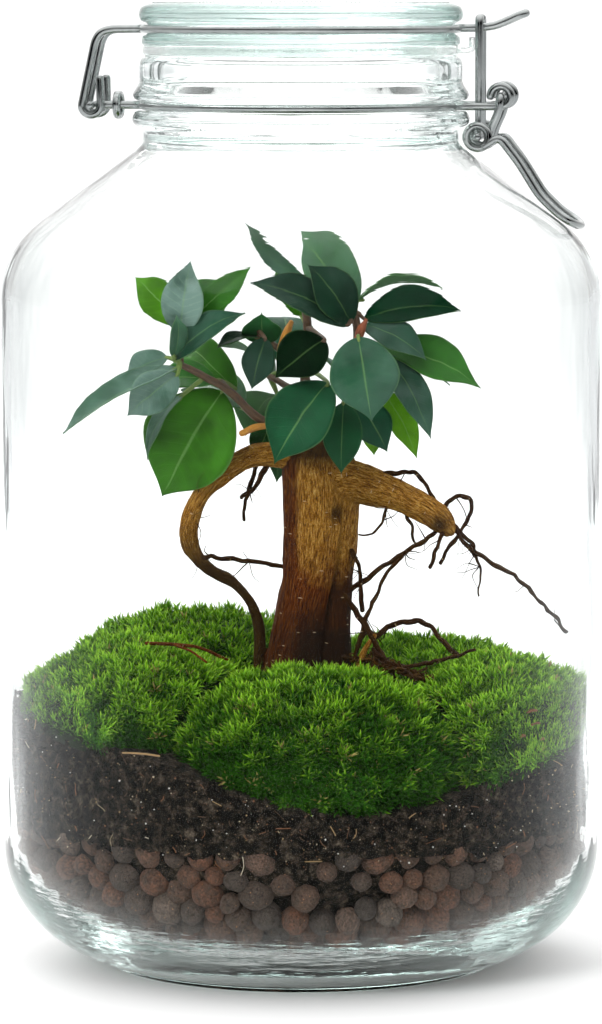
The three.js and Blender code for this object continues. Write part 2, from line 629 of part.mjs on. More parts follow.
// Each leafy stem: its twigs, and its leaves with the point of the twig that each grows from
const LEAFY_STEMS = [
  {
    name: 'leafy_stem_left',
    twigs: [
      [[3, -6, 158, 2], [-8, -10, 165, 1.5], [-14, -12, 168, 1.4], [-22, -15, 176, 1.3],
        [-29, -17, 180, 1.2], [-36, -19, 184, 1]],
      [[-36, -19, 184, 1], [-36, -20, 195, 1]],
      [[-22, -15, 176, 1.2], [-24, -8, 178, 1]],
    ],
    leaves: [
      { base: [-37, -20, 184], tip: [-71, -27, 163], width: 15, face: [-0.3, -0.5, 1], fold: 0.5 },
      { base: [-37, -21, 181], tip: [-52, -24, 169], width: 13, face: TOWARD_FRONT },
      { base: [-40, -17, 186], tip: [-53, -12, 179], width: 10, face: HALF_UP },
      { base: [-36, -22, 194], tip: [-34, -26, 215], width: 13, face: [-0.2, -1, 0] },
      { base: [-36, -16, 196], tip: [-50, -12, 210], width: 11, face: TOWARD_FRONT },
      { base: [-38, -22, 186], tip: [-17, -30, 201], width: 11, face: HALF_UP },
      { base: [-38, -25, 187], tip: [-37, -29, 200], width: 6, face: [0.6, -1, 0] },
      { base: [-35, -14, 196], tip: [-22, -10, 209], width: 13, face: TOWARD_FRONT },
      { base: [-35, -19, 197], tip: [-15, -17, 213], width: 8, face: [0.5, -1, 0.4], fold: 0.5 },
      { base: [-24, -8, 175], tip: [-42, -5, 143], width: 29, face: [-0.2, -1, 0.2], fold: 0.15 },
      { base: [-36, -12, 174], tip: [-47, -11, 155], width: 7, face: [-1, -0.6, 0.2] },
      { base: [-26, -9, 178], tip: [-45, 4, 176], width: 12, face: HALF_UP },
      { base: [-20, -10, 176], tip: [-36, 10, 188], width: 13, face: TOWARD_FRONT },
      { base: [-18, -9, 170], tip: [-36, 18, 172], width: 17, face: UPWARD },
    ],
  },
  {
    name: 'leafy_stem_middle',
    twigs: [
      [[4, 5, 158, 2], [2, 6, 170, 1.8], [1, 5, 182, 1.6], [2, 2, 194, 1.4], [1, 1, 204, 1.2]],
      [[1, 5, 182, 1.3], [-10, -2, 190, 1.1], [-14, -8, 194, 1]],
      [[2, 6, 172, 1.3], [-10, 14, 178, 1.1]],
    ],
    leaves: [
      { base: [4, 0, 205], tip: [-17, -4, 224], width: 5, face: TOWARD_FRONT, arch: -0.2 },
      { base: [0, 8, 198], tip: [-7, 12, 213], width: 9, face: TOWARD_FRONT },
      { base: [7, -22, 192], tip: [-8, -30, 181], width: 15, face: TOWARD_FRONT },
      { base: [8, -24, 179], tip: [-8, -31, 155], width: 20, face: [-0.3, -1, 0.2] },
      { base: [-11, -19, 192], tip: [-15, -24, 177], width: 10, face: TOWARD_FRONT },
      { base: [-13, -12, 192], tip: [-25, -17, 189], width: 7, face: UPWARD },
      { base: [-12, -9, 190], tip: [-12, -14, 200], width: 12, face: [0, -1, -0.3] },
      { base: [-9, 8, 165], tip: [-14, 6, 153], width: 9, face: TOWARD_FRONT },
      { base: [-6, 16, 162], tip: [-7, 12, 145], width: 8, face: TOWARD_FRONT },
      { base: [-10, 14, 178], tip: [-26, 34, 186], width: 15, face: [-0.3, 0.8, 0.8] },
      { base: [-4, 14, 180], tip: [-6, 40, 196], width: 17, face: [0, 0.6, 1] },
      { base: [-8, 15, 172], tip: [-18, 36, 158], width: 17, face: [-0.2, 1, 0.5] },
    ],
  },
  {
    name: 'leafy_stem_right',
    twigs: [
      [[10, -3, 156, 2], [13, -5, 168, 1.7], [16, -9, 180, 1.6], [17, -12, 192, 1.5],
        [16, -12, 200, 1.2]],
      [[17, -11, 190, 1.2], [24, -9, 189, 1]],
      [[13, -5, 168, 1.3], [16, -8, 173, 1]],
      [[13, -5, 168, 1.3], [18, 8, 176, 1]],
    ],
    leaves: [
      { base: [16, -8, 202], tip: [0, -3, 222], width: 17, face: [0.2, -1, 0.5] },
      { base: [15, -15, 197], tip: [2, -21, 214], width: 14, face: [0.3, -1, 0.4] },
      { base: [14, -17, 196], tip: [-15, -24, 209], width: 13, face: HALF_UP },
      { base: [17, -7, 203], tip: [43, 4, 206], width: 8, face: [0.1, 0.3, 1], fold: 0.5 },
      { base: [19, -12, 198], tip: [48, -16, 201], width: 13, face: HALF_UP },
      { base: [19, -15, 196], tip: [38, -24, 186], width: 11, face: HALF_UP },
      { base: [25, -9, 189], tip: [54, -14, 177], width: 14, face: [0.2, -0.8, 0.6] },
      { base: [17, -26, 193], tip: [21, -34, 168], width: 21, face: [0, -1, 0.2], arch: 0.08 },
      { base: [25, -14, 187], tip: [39, -20, 162], width: 11, face: [0.5, -1, 0.2] },
      { base: [24, -9, 176], tip: [35, -11, 155], width: 9, face: [0.4, -1, 0.2] },
      { base: [17, -10, 173], tip: [26, -15, 157], width: 12, face: TOWARD_FRONT },
      { base: [13, -14, 172], tip: [12, -20, 151], width: 12, face: TOWARD_FRONT },
      { base: [21, -4, 168], tip: [22, -5, 155], width: 6, face: TOWARD_FRONT },
      { base: [18, 8, 176], tip: [34, 30, 184], width: 16, face: [0.4, 0.8, 0.8] },
      { base: [16, 10, 172], tip: [24, 32, 160], width: 17, face: [0.3, 1, 0.4] },
      { base: [16, 8, 178], tip: [12, 34, 178], width: 16, face: [0, 0.7, 1] },
      { base: [20, 4, 178], tip: [46, 12, 176], width: 15, face: [0.7, 0.2, 1] },
    ],
  },
];

function nearestTwigPoint(twigs, base) {
  const spots = twigs.flat().map(([x, y, z]) => new THREE.Vector3(x, y, z));
  const target = new THREE.Vector3(...base);
  return spots.reduce((best, spot) => (
    spot.distanceTo(target) < best.distanceTo(target) ? spot : best
  ));
}

function leafyStem({ twigs, leaves }) {
  const bodies = twigs.map((stations) => limb(stations, 4));
  for (const leaf of leaves) {
    const spot = nearestTwigPoint(twigs, leaf.base);
    const base = new THREE.Vector3(...leaf.base);
    const sunk = base.clone().lerp(new THREE.Vector3(...leaf.tip), 0.06);
    bodies.push(limb([[...spot.toArray(), 0.8], [...sunk.toArray(), 0.8]], 3));
    bodies.push(blade(leaf));
  }
  return fuse(bodies);
}

function twigSockets() {
  const sunkTwig = ({ twigs }) => limb(twigs[0].slice(0, 2), 4, GAP);
  return fuse(LEAFY_STEMS.map(sunkTwig));
}

addPart(planting, 'clay_pebbles', pebbleLayer(), CLAY);
const trunkClearance = ficusTrunk(GAP);
addPart(planting, 'potting_soil', largest(soilBed().subtract(trunkClearance)), SOIL);
mossCushions(trunkClearance);
addPart(planting, 'ficus_trunk', largest(ficusTrunk().subtract(twigSockets())), BARK);
for (const stem of LEAFY_STEMS) {
  addPart(planting, stem.name, leafyStem(stem), LEAF);
}

export default group;
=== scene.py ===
import math

import bpy
import numpy as np
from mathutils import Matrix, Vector, noise


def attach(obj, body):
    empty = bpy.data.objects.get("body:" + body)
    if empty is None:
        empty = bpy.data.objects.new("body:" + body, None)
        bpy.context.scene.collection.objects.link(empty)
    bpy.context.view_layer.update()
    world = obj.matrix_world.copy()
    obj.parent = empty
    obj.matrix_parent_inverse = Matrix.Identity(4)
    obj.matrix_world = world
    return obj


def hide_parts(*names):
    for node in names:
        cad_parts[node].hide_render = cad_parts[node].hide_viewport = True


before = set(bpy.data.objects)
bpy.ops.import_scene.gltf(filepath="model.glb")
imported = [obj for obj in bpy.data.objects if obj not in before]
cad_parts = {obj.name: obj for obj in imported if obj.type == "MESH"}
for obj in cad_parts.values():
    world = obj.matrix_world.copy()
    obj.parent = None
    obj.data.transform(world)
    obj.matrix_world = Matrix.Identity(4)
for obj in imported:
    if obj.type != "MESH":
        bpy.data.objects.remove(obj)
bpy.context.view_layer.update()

MM = 0.001
FULL_TURN = 2 * math.pi

# The jar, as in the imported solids
BODY_RADIUS = 91.3
WALL = 3.0
SHOULDER_RADIUS = 29.0
SHOULDER_BASE = 202.9
SHOULDER_TURN = 53.1
HEEL_CENTRE = 50.0
HEEL_HEIGHT = 36.0
INNER_HEEL_TOP = 38.0
FLOOR = 7.5
PUNT_HEIGHT = 4.5
LIP = 276.8
FLANGE = 279.8
GROOVE_RADIUS = 46.4
MOUTH_RADIUS = 43.0
WIRE_RADIUS = 1.25
WIRE_SIDES = 14
RING_RADIUS = 47.95
NECK_WIRE_HEIGHT = 261.6
LID_WIRE_HEIGHT = 284.7
GROOVE_GAP = 0.35

# The inside of the shoulder is its outside, moved in by the wall and down by this much
SHOULDER_DROP = 0.6

# The hinge and the clip
HINGE_X = -63.3
CURL_RADIUS = 2.9
CURL_Y = 7.0
BAND_X = -55.9
PIVOT_X = 61.3
PIVOT_Z = 264.65
EYE_RADIUS = 3.05
EYE_Y = 9.6
LEVER_Y = 12.5
COIL_X = 54.6
COIL_Z = 252.5
COIL_RADIUS = 3.4
LINK_Y = 6.4
LINK_TOP = 287.95
HOOK_END = 3.9
BEAK_Y = 2.2
BEAK_END = (66, 288.7)
LOOP_START = (81.5, 227.8)

# The planting, in its own frame that is turned a little in the jar. Its solid matter ends at the
# cavity's radius, and what lies on the glass reaches nearly to the inside of the glass
PLANTING_TURN = math.radians(6)
GLASS_INSIDE = BODY_RADIUS - WALL
CAVITY_RADIUS = GLASS_INSIDE - 0.8
PEBBLE_TOP = 46.0
SOIL_LEVEL = 80.0

# How often light may turn in the thick glass of the base
GLASS_BOUNCES = 28


# Lists of points and faces

def unit(vectors):
    lengths = np.linalg.norm(vectors, axis=-1, keepdims=True)
    return vectors / np.maximum(lengths, 1e-9)


def arc(centre_a, centre_b, radius_a, radius_b, start, end, steps):
    angles = np.radians(np.linspace(start, end, steps + 1))
    return np.column_stack([centre_a + radius_a * np.cos(angles), centre_b + radius_b * np.sin(angles)])


def spot_at(radius, angle, height):
    """Points at a radius, a turn and a height round the jar's axis"""
    return np.stack(np.broadcast_arrays(radius * np.cos(angle), radius * np.sin(angle), height), axis=-1)


def lengths_along(route):
    """The length of a route from its start to each of its points"""
    return np.concatenate([[0], np.cumsum(np.linalg.norm(np.diff(route, axis=0), axis=1))])


def rounded(points, bend, steps=5):
    """The same route with each corner bent round, as wire or moulded glass is"""
    points = [np.asarray(point, float) for point in points]
    route = [points[0]]
    for before, corner, after in zip(points, points[1:], points[2:]):
        way_in, way_out = before - corner, after - corner
        length_in, length_out = np.linalg.norm(way_in), np.linalg.norm(way_out)
        start = corner + way_in / length_in * min(bend, length_in / 2)
        end = corner + way_out / length_out * min(bend, length_out / 2)
        for share in np.linspace(0, 1, steps + 1):
            route.append((1 - share) ** 2 * start + 2 * share * (1 - share) * corner + share ** 2 * end)
    route.append(points[-1])
    kept = [route[0]]
    for point in route[1:]:
        if np.linalg.norm(point - kept[-1]) > 1e-3:
            kept.append(point)
    return np.array(kept)


def smooth(stations, steps=6):
    """A soft curve through stations, whose last column may be a radius"""
    stations = np.asarray(stations, float)
    padded = np.vstack([2 * stations[0] - stations[1], stations, 2 * stations[-1] - stations[-2]])
    route = []
    for a, b, c, d in zip(padded, padded[1:], padded[2:], padded[3:]):
        for share in np.arange(steps) / steps:
            route.append(0.5 * (2 * b + (c - a) * share + (2 * a - 5 * b + 4 * c - d) * share ** 2
                                + (3 * b - a - 3 * c + d) * share ** 3))
    route.append(stations[-1])
    return np.array(route)


def dense(profile, step, beyond):
    """The same profile with points no further apart than a step, where it is wider than a radius"""
    points = [profile[0]]
    for start, end in zip(profile, profile[1:]):
        count = max(1, int(np.ceil(np.linalg.norm(end - start) / step)))
        if max(start[0], end[0]) < beyond:
            count = 1
        points += [start + (end - start) * share for share in np.arange(1, count + 1) / count]
    return np.array(points)


class Form:
    """The points, faces and per-point values of a piece, gathered part by part"""

    def __init__(self):
        self.points = []
        self.faces = []
        self.values = []
        self.count = 0

    def add(self, points, faces, **values):
        points = np.asarray(points, float)
        self.faces.extend(tuple(int(corner) + self.count for corner in face) for face in faces)
        self.points.append(points)
        self.values.append((len(points), values))
        self.count += len(points)

    def column(self, name):
        parts = [np.broadcast_to(np.asarray(values.get(name, 0.0), float), (size,))
                 for size, values in self.values]
        return np.concatenate(parts)

    def names(self):
        return sorted({name for _, values in self.values for name in values})


def ring_faces(rings, sides, closed=False):
    faces = []
    for ring in range(rings if closed else rings - 1):
        upper = ((ring + 1) % rings) * sides
        lower = ring * sides
        for k in range(sides):
            after = (k + 1) % sides
            faces.append((lower + k, lower + after, upper + after, upper + k))
    return faces


def end_faces(rings, sides):
    """The two faces that close a row of rings"""
    return [tuple(reversed(range(sides))), tuple(range((rings - 1) * sides, rings * sides))]


def frames_along(route, closed=False):
    """Two directions across a route at each of its points, turning with it as little as they can"""
    tangents = unit(np.gradient(route, axis=0))
    if closed:
        tangents = unit(np.roll(route, -1, axis=0) - np.roll(route, 1, axis=0))
    seed = np.array([0.0, 0.0, 1.0]) if abs(tangents[0][2]) < 0.9 else np.array([0.0, 1.0, 0.0])
    normal = unit(np.cross(tangents[0], seed))
    normals = []
    for tangent in tangents:
        normal = unit(normal - tangent * np.dot(normal, tangent))
        normals.append(normal)
    normals = np.array(normals)
    return tangents, normals, np.cross(tangents, normals)


# The two rings that round the end of a tube: how far each steps out and narrows, by the radius before it
END_RINGS = ((0.5, 0.87), (0.37, 0.57))


def tube(form, route, radii, sides=12, closed=False, **values):
    """A round tube with rounded ends along a route, with its length and turn kept as values"""
    route = np.asarray(route, float)
    radii = np.broadcast_to(np.asarray(radii, float), (len(route),))
    tangents, normals, binormals = frames_along(route, closed)
    for step, narrowing in () if closed else END_RINGS:
        route = np.vstack([route[0] - tangents[0] * radii[0] * step, route,
                           route[-1] + tangents[-1] * radii[-1] * step])
        radii = np.concatenate([[radii[0] * narrowing], radii, [radii[-1] * narrowing]])
        tangents, normals, binormals = (np.vstack([rows[:1], rows, rows[-1:]])
                                        for rows in (tangents, normals, binormals))
    angles = np.arange(sides) * FULL_TURN / sides
    across = (np.cos(angles)[None, :, None] * normals[:, None, :]
              + np.sin(angles)[None, :, None] * binormals[:, None, :])
    rings = route[:, None, :] + radii[:, None, None] * across
    faces = ring_faces(len(route), sides, closed)
    if not closed:
        faces += end_faces(len(route), sides)
    form.add(rings.reshape(-1, 3), faces, length=np.repeat(lengths_along(route), sides),
             turn=np.tile(angles, len(route)), **values)


def limb(form, stations, steps, sides, **values):
    """A tube along a soft curve through stations, each a place and a radius"""
    route = smooth(stations, steps)
    tube(form, route[:, :3], route[:, 3], sides, **values)


def lathe(form, profile, sides, wave=None, **values):
    """A turned body. Its profile runs from axis to axis, or is closed like a ring."""
    profile = np.asarray(profile, float)
    on_axis = profile[0][0] < 1e-6
    turned = profile[1:-1] if on_axis else profile[:-1]
    angles = np.arange(sides) * FULL_TURN / sides
    radii = np.repeat(turned[:, 0][:, None], sides, axis=1)
    heights = np.repeat(turned[:, 1][:, None], sides, axis=1)
    if wave is not None:
        radii = radii + wave(angles[None, :], heights, radii)
    points = spot_at(radii, angles, heights).reshape(-1, 3)
    faces = ring_faces(len(turned), sides, closed=not on_axis)
    if on_axis:
        low, high = len(points), len(points) + 1
        points = np.vstack([points, [0, 0, profile[0][1]], [0, 0, profile[-1][1]]])
        last = (len(turned) - 1) * sides
        for k in range(sides):
            after = (k + 1) % sides
            faces.append((low, after, k))
            faces.append((high, last + k, last + after))
    form.add(points, faces, **values)


def ball(detail):
    """Points and faces of a round ball of triangles"""
    golden = (1 + math.sqrt(5)) / 2
    points = [(-1, golden, 0), (1, golden, 0), (-1, -golden, 0), (1, -golden, 0),
              (0, -1, golden), (0, 1, golden), (0, -1, -golden), (0, 1, -golden),
              (golden, 0, -1), (golden, 0, 1), (-golden, 0, -1), (-golden, 0, 1)]
    points = [tuple(unit(np.array(point, float))) for point in points]
    faces = [(0, 11, 5), (0, 5, 1), (0, 1, 7), (0, 7, 10), (0, 10, 11), (1, 5, 9), (5, 11, 4), (11, 10, 2),
             (10, 7, 6), (7, 1, 8), (3, 9, 4), (3, 4, 2), (3, 2, 6), (3, 6, 8), (3, 8, 9), (4, 9, 5),
             (2, 4, 11), (6, 2, 10), (8, 6, 7), (9, 8, 1)]
    for _ in range(detail):
        middles = {}

        def middle(a, b):
            key = (min(a, b), max(a, b))
            if key not in middles:
                points.append(tuple(unit(np.array(points[a]) + np.array(points[b]))))
                middles[key] = len(points) - 1
            return middles[key]

        finer = []
        for a, b, c in faces:
            ab, bc, ca = middle(a, b), middle(b, c), middle(c, a)
            finer += [(a, ab, ca), (b, bc, ab), (c, ca, bc), (ab, bc, ca)]
        faces = finer
    return np.array(points), faces


def rough(points, size, seed=0.0):
    """Soft noise at each point, about -1 to 1, for lumps of the given size"""
    offset = Vector((seed, 1.7 * seed, 2.3 * seed))
    return np.array([noise.noise(Vector(point) / size + offset) for point in points])


def make_piece(name, form, material, body, replaced, turn=0.0):
    """A mesh object that rides on a body and stands in for a node of the frame"""
    cos, sin = math.cos(turn), math.sin(turn)
    points = np.concatenate(form.points) @ np.array([[cos, sin, 0], [-sin, cos, 0], [0, 0, 1]])
    mesh = bpy.data.meshes.new(name)
    mesh.from_pydata((points * MM).tolist(), [], form.faces)
    for value in form.names():
        mesh.attributes.new(value, "FLOAT", "POINT").data.foreach_set("value", form.column(value))
    mesh.shade_smooth()
    mesh.materials.append(material)
    mesh.update()
    piece = bpy.data.objects.new(name, mesh)
    bpy.context.scene.collection.objects.link(piece)
    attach(piece, body)
    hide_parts(replaced)


def plant_piece(name, form, material, replaced):
    make_piece(name, form, material, "jar", replaced, PLANTING_TURN)


# Materials

class Nodes:
    """The node tree of one material"""

    def __init__(self, name):
        self.material = bpy.data.materials.new(name)
        self.material.use_nodes = True
        self.tree = self.material.node_tree
        self.shader = self.tree.nodes["Principled BSDF"]
        self.output = self.tree.nodes["Material Output"]

    def put(self, socket, value):
        if isinstance(value, bpy.types.NodeSocket):
            self.tree.links.new(value, socket)
        else:
            socket.default_value = value

    def set(self, **inputs):
        for name, value in inputs.items():
            self.put(self.shader.inputs[name.replace("_", " ")], value)

    def node(self, kind, inputs, **settings):
        node = self.tree.nodes.new("ShaderNode" + kind)
        for name, value in settings.items():
            setattr(node, name, value)
        for key, value in inputs.items():
            self.put(node.inputs[key], value)
        return node

    def value(self, name):
        return self.node("Attribute", {}, attribute_name=name).outputs["Fac"]

    def place(self, scale=(1, 1, 1)):
        spot = self.node("TexCoord", {}).outputs["Object"]
        return self.node("Mapping", {"Vector": spot, "Scale": [1000 * share for share in scale]}).outputs[0]

    def along(self, across_scale, length_scale):
        """Places that follow a limb: round it and along it, in millimetres"""
        sine = self.math("SINE", self.value("turn"))
        cosine = self.math("COSINE", self.value("turn"))
        wide = self.value("wide")
        return self.node("CombineXYZ", {
            "X": self.math("MULTIPLY", self.math("MULTIPLY", cosine, wide), across_scale),
            "Y": self.math("MULTIPLY", self.math("MULTIPLY", sine, wide), across_scale),
            "Z": self.math("MULTIPLY", self.value("length"), length_scale),
        }).outputs[0]

    def noise(self, place, scale, detail=4.0, roughness=0.6):
        inputs = {"Vector": place, "Scale": scale, "Detail": detail, "Roughness": roughness}
        return self.node("TexNoise", inputs).outputs["Fac"]

    def cells(self, place, scale):
        inputs = {"Vector": place, "Scale": scale}
        return self.node("TexVoronoi", inputs).outputs["Distance"]

    def ramp(self, factor, stops):
        node = self.node("ValToRGB", {"Fac": factor})
        elements = node.color_ramp.elements
        while len(elements) < len(stops):
            elements.new(0.5)
        for element, (position, colour) in zip(elements, stops):
            element.position = position
            element.color = (*colour, 1) if isinstance(colour, tuple) else (colour, colour, colour, 1)
        return node.outputs["Color"]

    def mix(self, factor, first, second, blend="MIX"):
        node = self.node("Mix", {0: factor}, data_type="RGBA", blend_type=blend)
        for socket, colour in ((node.inputs[6], first), (node.inputs[7], second)):
            self.put(socket, (*colour, 1) if isinstance(colour, tuple) else colour)
        return node.outputs[2]

    def math(self, operation, first, second=0.0, clamp=False):
        return self.node("Math", {0: first, 1: second}, operation=operation, use_clamp=clamp).outputs[0]

    def bump(self, height, strength, distance):
        inputs = {"Height": height, "Strength": strength, "Distance": distance * MM}
        return self.node("Bump", inputs).outputs["Normal"]

    def over(self, tint, factor, stops, colour):
        """A tint under a second colour, which shows as far as a factor says"""
        return self.mix(self.ramp(factor, stops), tint, colour)

    def shaded(self, tint, factor, stops):
        """A tint made darker or lighter as a factor says"""
        return self.mix(1.0, tint, self.ramp(factor, stops), "MULTIPLY")

    def lets_light_through(self):
        """Clear matter stops neither the light of the lamps nor that of the room"""
        clear = self.node("BsdfTransparent", {"Color": (0.97, 0.985, 0.98, 1)}).outputs[0]
        path = self.node("LightPath", {})
        shown = self.shader.outputs[0]
        for ray in ("Is Diffuse Ray", "Is Shadow Ray"):
            shown = self.node("MixShader", {0: path.outputs[ray], 1: shown, 2: clear}).outputs[0]
        self.tree.links.new(shown, self.output.inputs["Surface"])

    def finish(self, tint, grain, roughness, relief, **inputs):
        """Joins the colour, a roughness that goes with the grain, and the relief to the shader"""
        self.set(Base_Color=tint, Roughness=self.ramp(grain, roughness), Normal=self.bump(*relief))
        self.set(**inputs)
        return self.material


def glass_material():
    """Clear, slightly green glass. Its low shine keeps the bright floor from veiling what is behind it"""
    shine = 0.05
    nodes = Nodes("clear_glass")
    waves = nodes.noise(nodes.place((1, 1, 0.35)), 0.06, 2.0, 0.4)
    streaks = nodes.noise(nodes.place((0.12, 0.12, 1)), 0.6, 3.0, 0.5)
    height = nodes.node("SeparateXYZ", {0: nodes.place()}).outputs["Z"]
    is_low = nodes.math("SUBTRACT", 1.9, nodes.math("MULTIPLY", height, 0.05), clamp=True)
    streaks = nodes.math("MULTIPLY", streaks, nodes.math("MULTIPLY", is_low, 0.7))
    cloud = nodes.noise(nodes.place(), 0.03)
    tint = nodes.ramp(cloud, [(0.3, (0.975, 0.988, 0.982)), (0.7, (0.985, 0.993, 0.99))])
    nodes.set(Base_Color=tint, Roughness=0.0, IOR=1.48, Transmission_Weight=1.0,
              Specular_Tint=(shine, shine, shine, 1),
              Normal=nodes.bump(nodes.math("ADD", waves, streaks), 0.12, 2.0))
    absorb = nodes.node("VolumeAbsorption", {"Color": (0.74, 0.895, 0.86, 1), "Density": 10.0})
    nodes.tree.links.new(absorb.outputs[0], nodes.output.inputs["Volume"])
    nodes.lets_light_through()
    return nodes.material


def silicone_material():
    nodes = Nodes("clear_silicone")
    cloud = nodes.noise(nodes.place(), 0.35, 3.0)
    tint = nodes.ramp(cloud, [(0.3, (0.90, 0.94, 0.92)), (0.75, (0.96, 0.98, 0.97))])
    nodes.lets_light_through()
    return nodes.finish(tint, cloud, [(0.2, 0.12), (0.8, 0.3)], (cloud, 0.4, 0.4), IOR=1.41,
                        Transmission_Weight=0.92)


def steel_material():
    nodes = Nodes("drawn_steel")
    drawn = nodes.noise(nodes.along(2.4, 0.05), 2.0, 3.0)
    cloud = nodes.noise(nodes.place(), 0.25, 3.0)
    tint = nodes.mix(cloud, (0.26, 0.28, 0.28), (0.46, 0.48, 0.47))
    return nodes.finish(tint, drawn, [(0.3, 0.16), (0.75, 0.32)], (drawn, 0.3, 0.06), Metallic=1.0)


def clay_material():
    """Fired clay, from grey over brown to brick red by tone, with dusty patches and rusty specks"""
    nodes = Nodes("fired_clay")
    patches = nodes.noise(nodes.place(), 0.34, 6.0, 0.75)
    grain = nodes.noise(nodes.place(), 1.6, 6.0, 0.75)
    tint = nodes.ramp(nodes.value("tone"), [
        (0.0, (0.050, 0.042, 0.038)), (0.3, (0.074, 0.052, 0.042)), (0.6, (0.095, 0.054, 0.038)),
        (0.85, (0.125, 0.058, 0.036)), (1.0, (0.11, 0.092, 0.08))])
    tint = nodes.over(tint, patches, [(0.42, 0.0), (0.66, 0.85)], (0.052, 0.043, 0.037))
    mottled = nodes.over((0.22, 0.2, 0.19), grain, [(0.36, 0.0), (0.64, 1.0)], (1.85, 1.75, 1.65))
    tint = nodes.mix(1.0, tint, mottled, "MULTIPLY")
    specks = nodes.cells(nodes.place(), 0.55)
    tint = nodes.over(tint, specks, [(0.05, 1.0), (0.1, 0.0)], (0.5, 0.24, 0.1))
    return nodes.finish(tint, grain, [(0.3, 0.75), (0.7, 0.98)], (grain, 0.8, 0.7), Specular_IOR_Level=0.3)


def soil_material():
    nodes = Nodes("potting_soil")
    lumps = nodes.noise(nodes.place(), 0.32, 6.0, 0.75)
    grain = nodes.noise(nodes.place((1, 1, 1.4)), 1.0, 5.0, 0.8)
    tint = nodes.ramp(lumps, [(0.36, (0.001, 0.001, 0.0005)), (0.47, (0.005, 0.004, 0.003)),
                              (0.56, (0.027, 0.020, 0.014)), (0.68, (0.10, 0.076, 0.055))])
    tint = nodes.shaded(tint, grain, [(0.36, 0.25), (0.66, 2.1)])
    specks = nodes.cells(nodes.place(), 0.75)
    tint = nodes.over(tint, specks, [(0.05, 1.0), (0.12, 0.0)], (0.26, 0.2, 0.14))
    return nodes.finish(tint, grain, [(0.3, 0.7), (0.7, 1.0)], (lumps, 1.0, 1.4), Specular_IOR_Level=0.15)


def litter_material():
    """Bits of root, straw, bark and perlite in the soil; tone goes from dark root to white"""
    nodes = Nodes("soil_litter")
    streaks = nodes.noise(nodes.along(2.0, 0.4), 1.5, 4.0)
    tint = nodes.ramp(nodes.value("tone"), [
        (0.0, (0.02, 0.012, 0.008)), (0.35, (0.10, 0.05, 0.022)), (0.55, (0.22, 0.085, 0.03)),
        (0.75, (0.42, 0.27, 0.12)), (0.9, (0.62, 0.5, 0.33)), (1.0, (0.85, 0.82, 0.76))])
    tint = nodes.shaded(tint, streaks, [(0.3, 0.55), (0.7, 1.2)])
    return nodes.finish(tint, streaks, [(0.3, 0.7), (0.7, 0.95)], (streaks, 0.6, 0.2))


def moss_material():
    """Shoots from dark roots to bright tips, the roots' darkness partly older growth and partly painted
    shade; tone goes from deep green, which also serves as painted shade, to fresh green, and at its end to
    straw
    """
    nodes = Nodes("moss")
    share = nodes.value("share")
    tone = nodes.value("tone")
    fine = nodes.noise(nodes.place(), 0.9, 3.0)
    # From root to tip the shoots get brighter: lower down they are older and darker, and the near-black at
    # the roots is painted shade
    fresh = nodes.ramp(share, [(0.0, (0.003, 0.010, 0.001)), (0.35, (0.022, 0.080, 0.002)),
                               (0.7, (0.13, 0.33, 0.008)), (1.0, (0.46, 0.74, 0.05))])
    # The darker shoot colours: deep green moss, and painted shade where moss_form lowers the tone
    deep_green_and_shaded = nodes.ramp(share, [(0.0, (0.002, 0.005, 0.001)), (0.4, (0.006, 0.026, 0.001)),
                              (0.75, (0.015, 0.075, 0.002)), (1.0, (0.05, 0.17, 0.008))])
    straw = nodes.ramp(share, [(0.0, (0.04, 0.025, 0.008)), (0.5, (0.16, 0.11, 0.03)),
                               (1.0, (0.45, 0.36, 0.12))])
    tint = nodes.over(deep_green_and_shaded, tone, [(0.25, 0.0), (0.75, 1.0)], fresh)
    tint = nodes.over(tint, tone, [(0.955, 0.0), (0.965, 1.0)], straw)
    tint = nodes.shaded(tint, fine, [(0.3, 0.75), (0.7, 1.15)])
    return nodes.finish(tint, fine, [(0.3, 0.5), (0.7, 0.75)], (fine, 0.3, 0.15), Specular_IOR_Level=0.12)


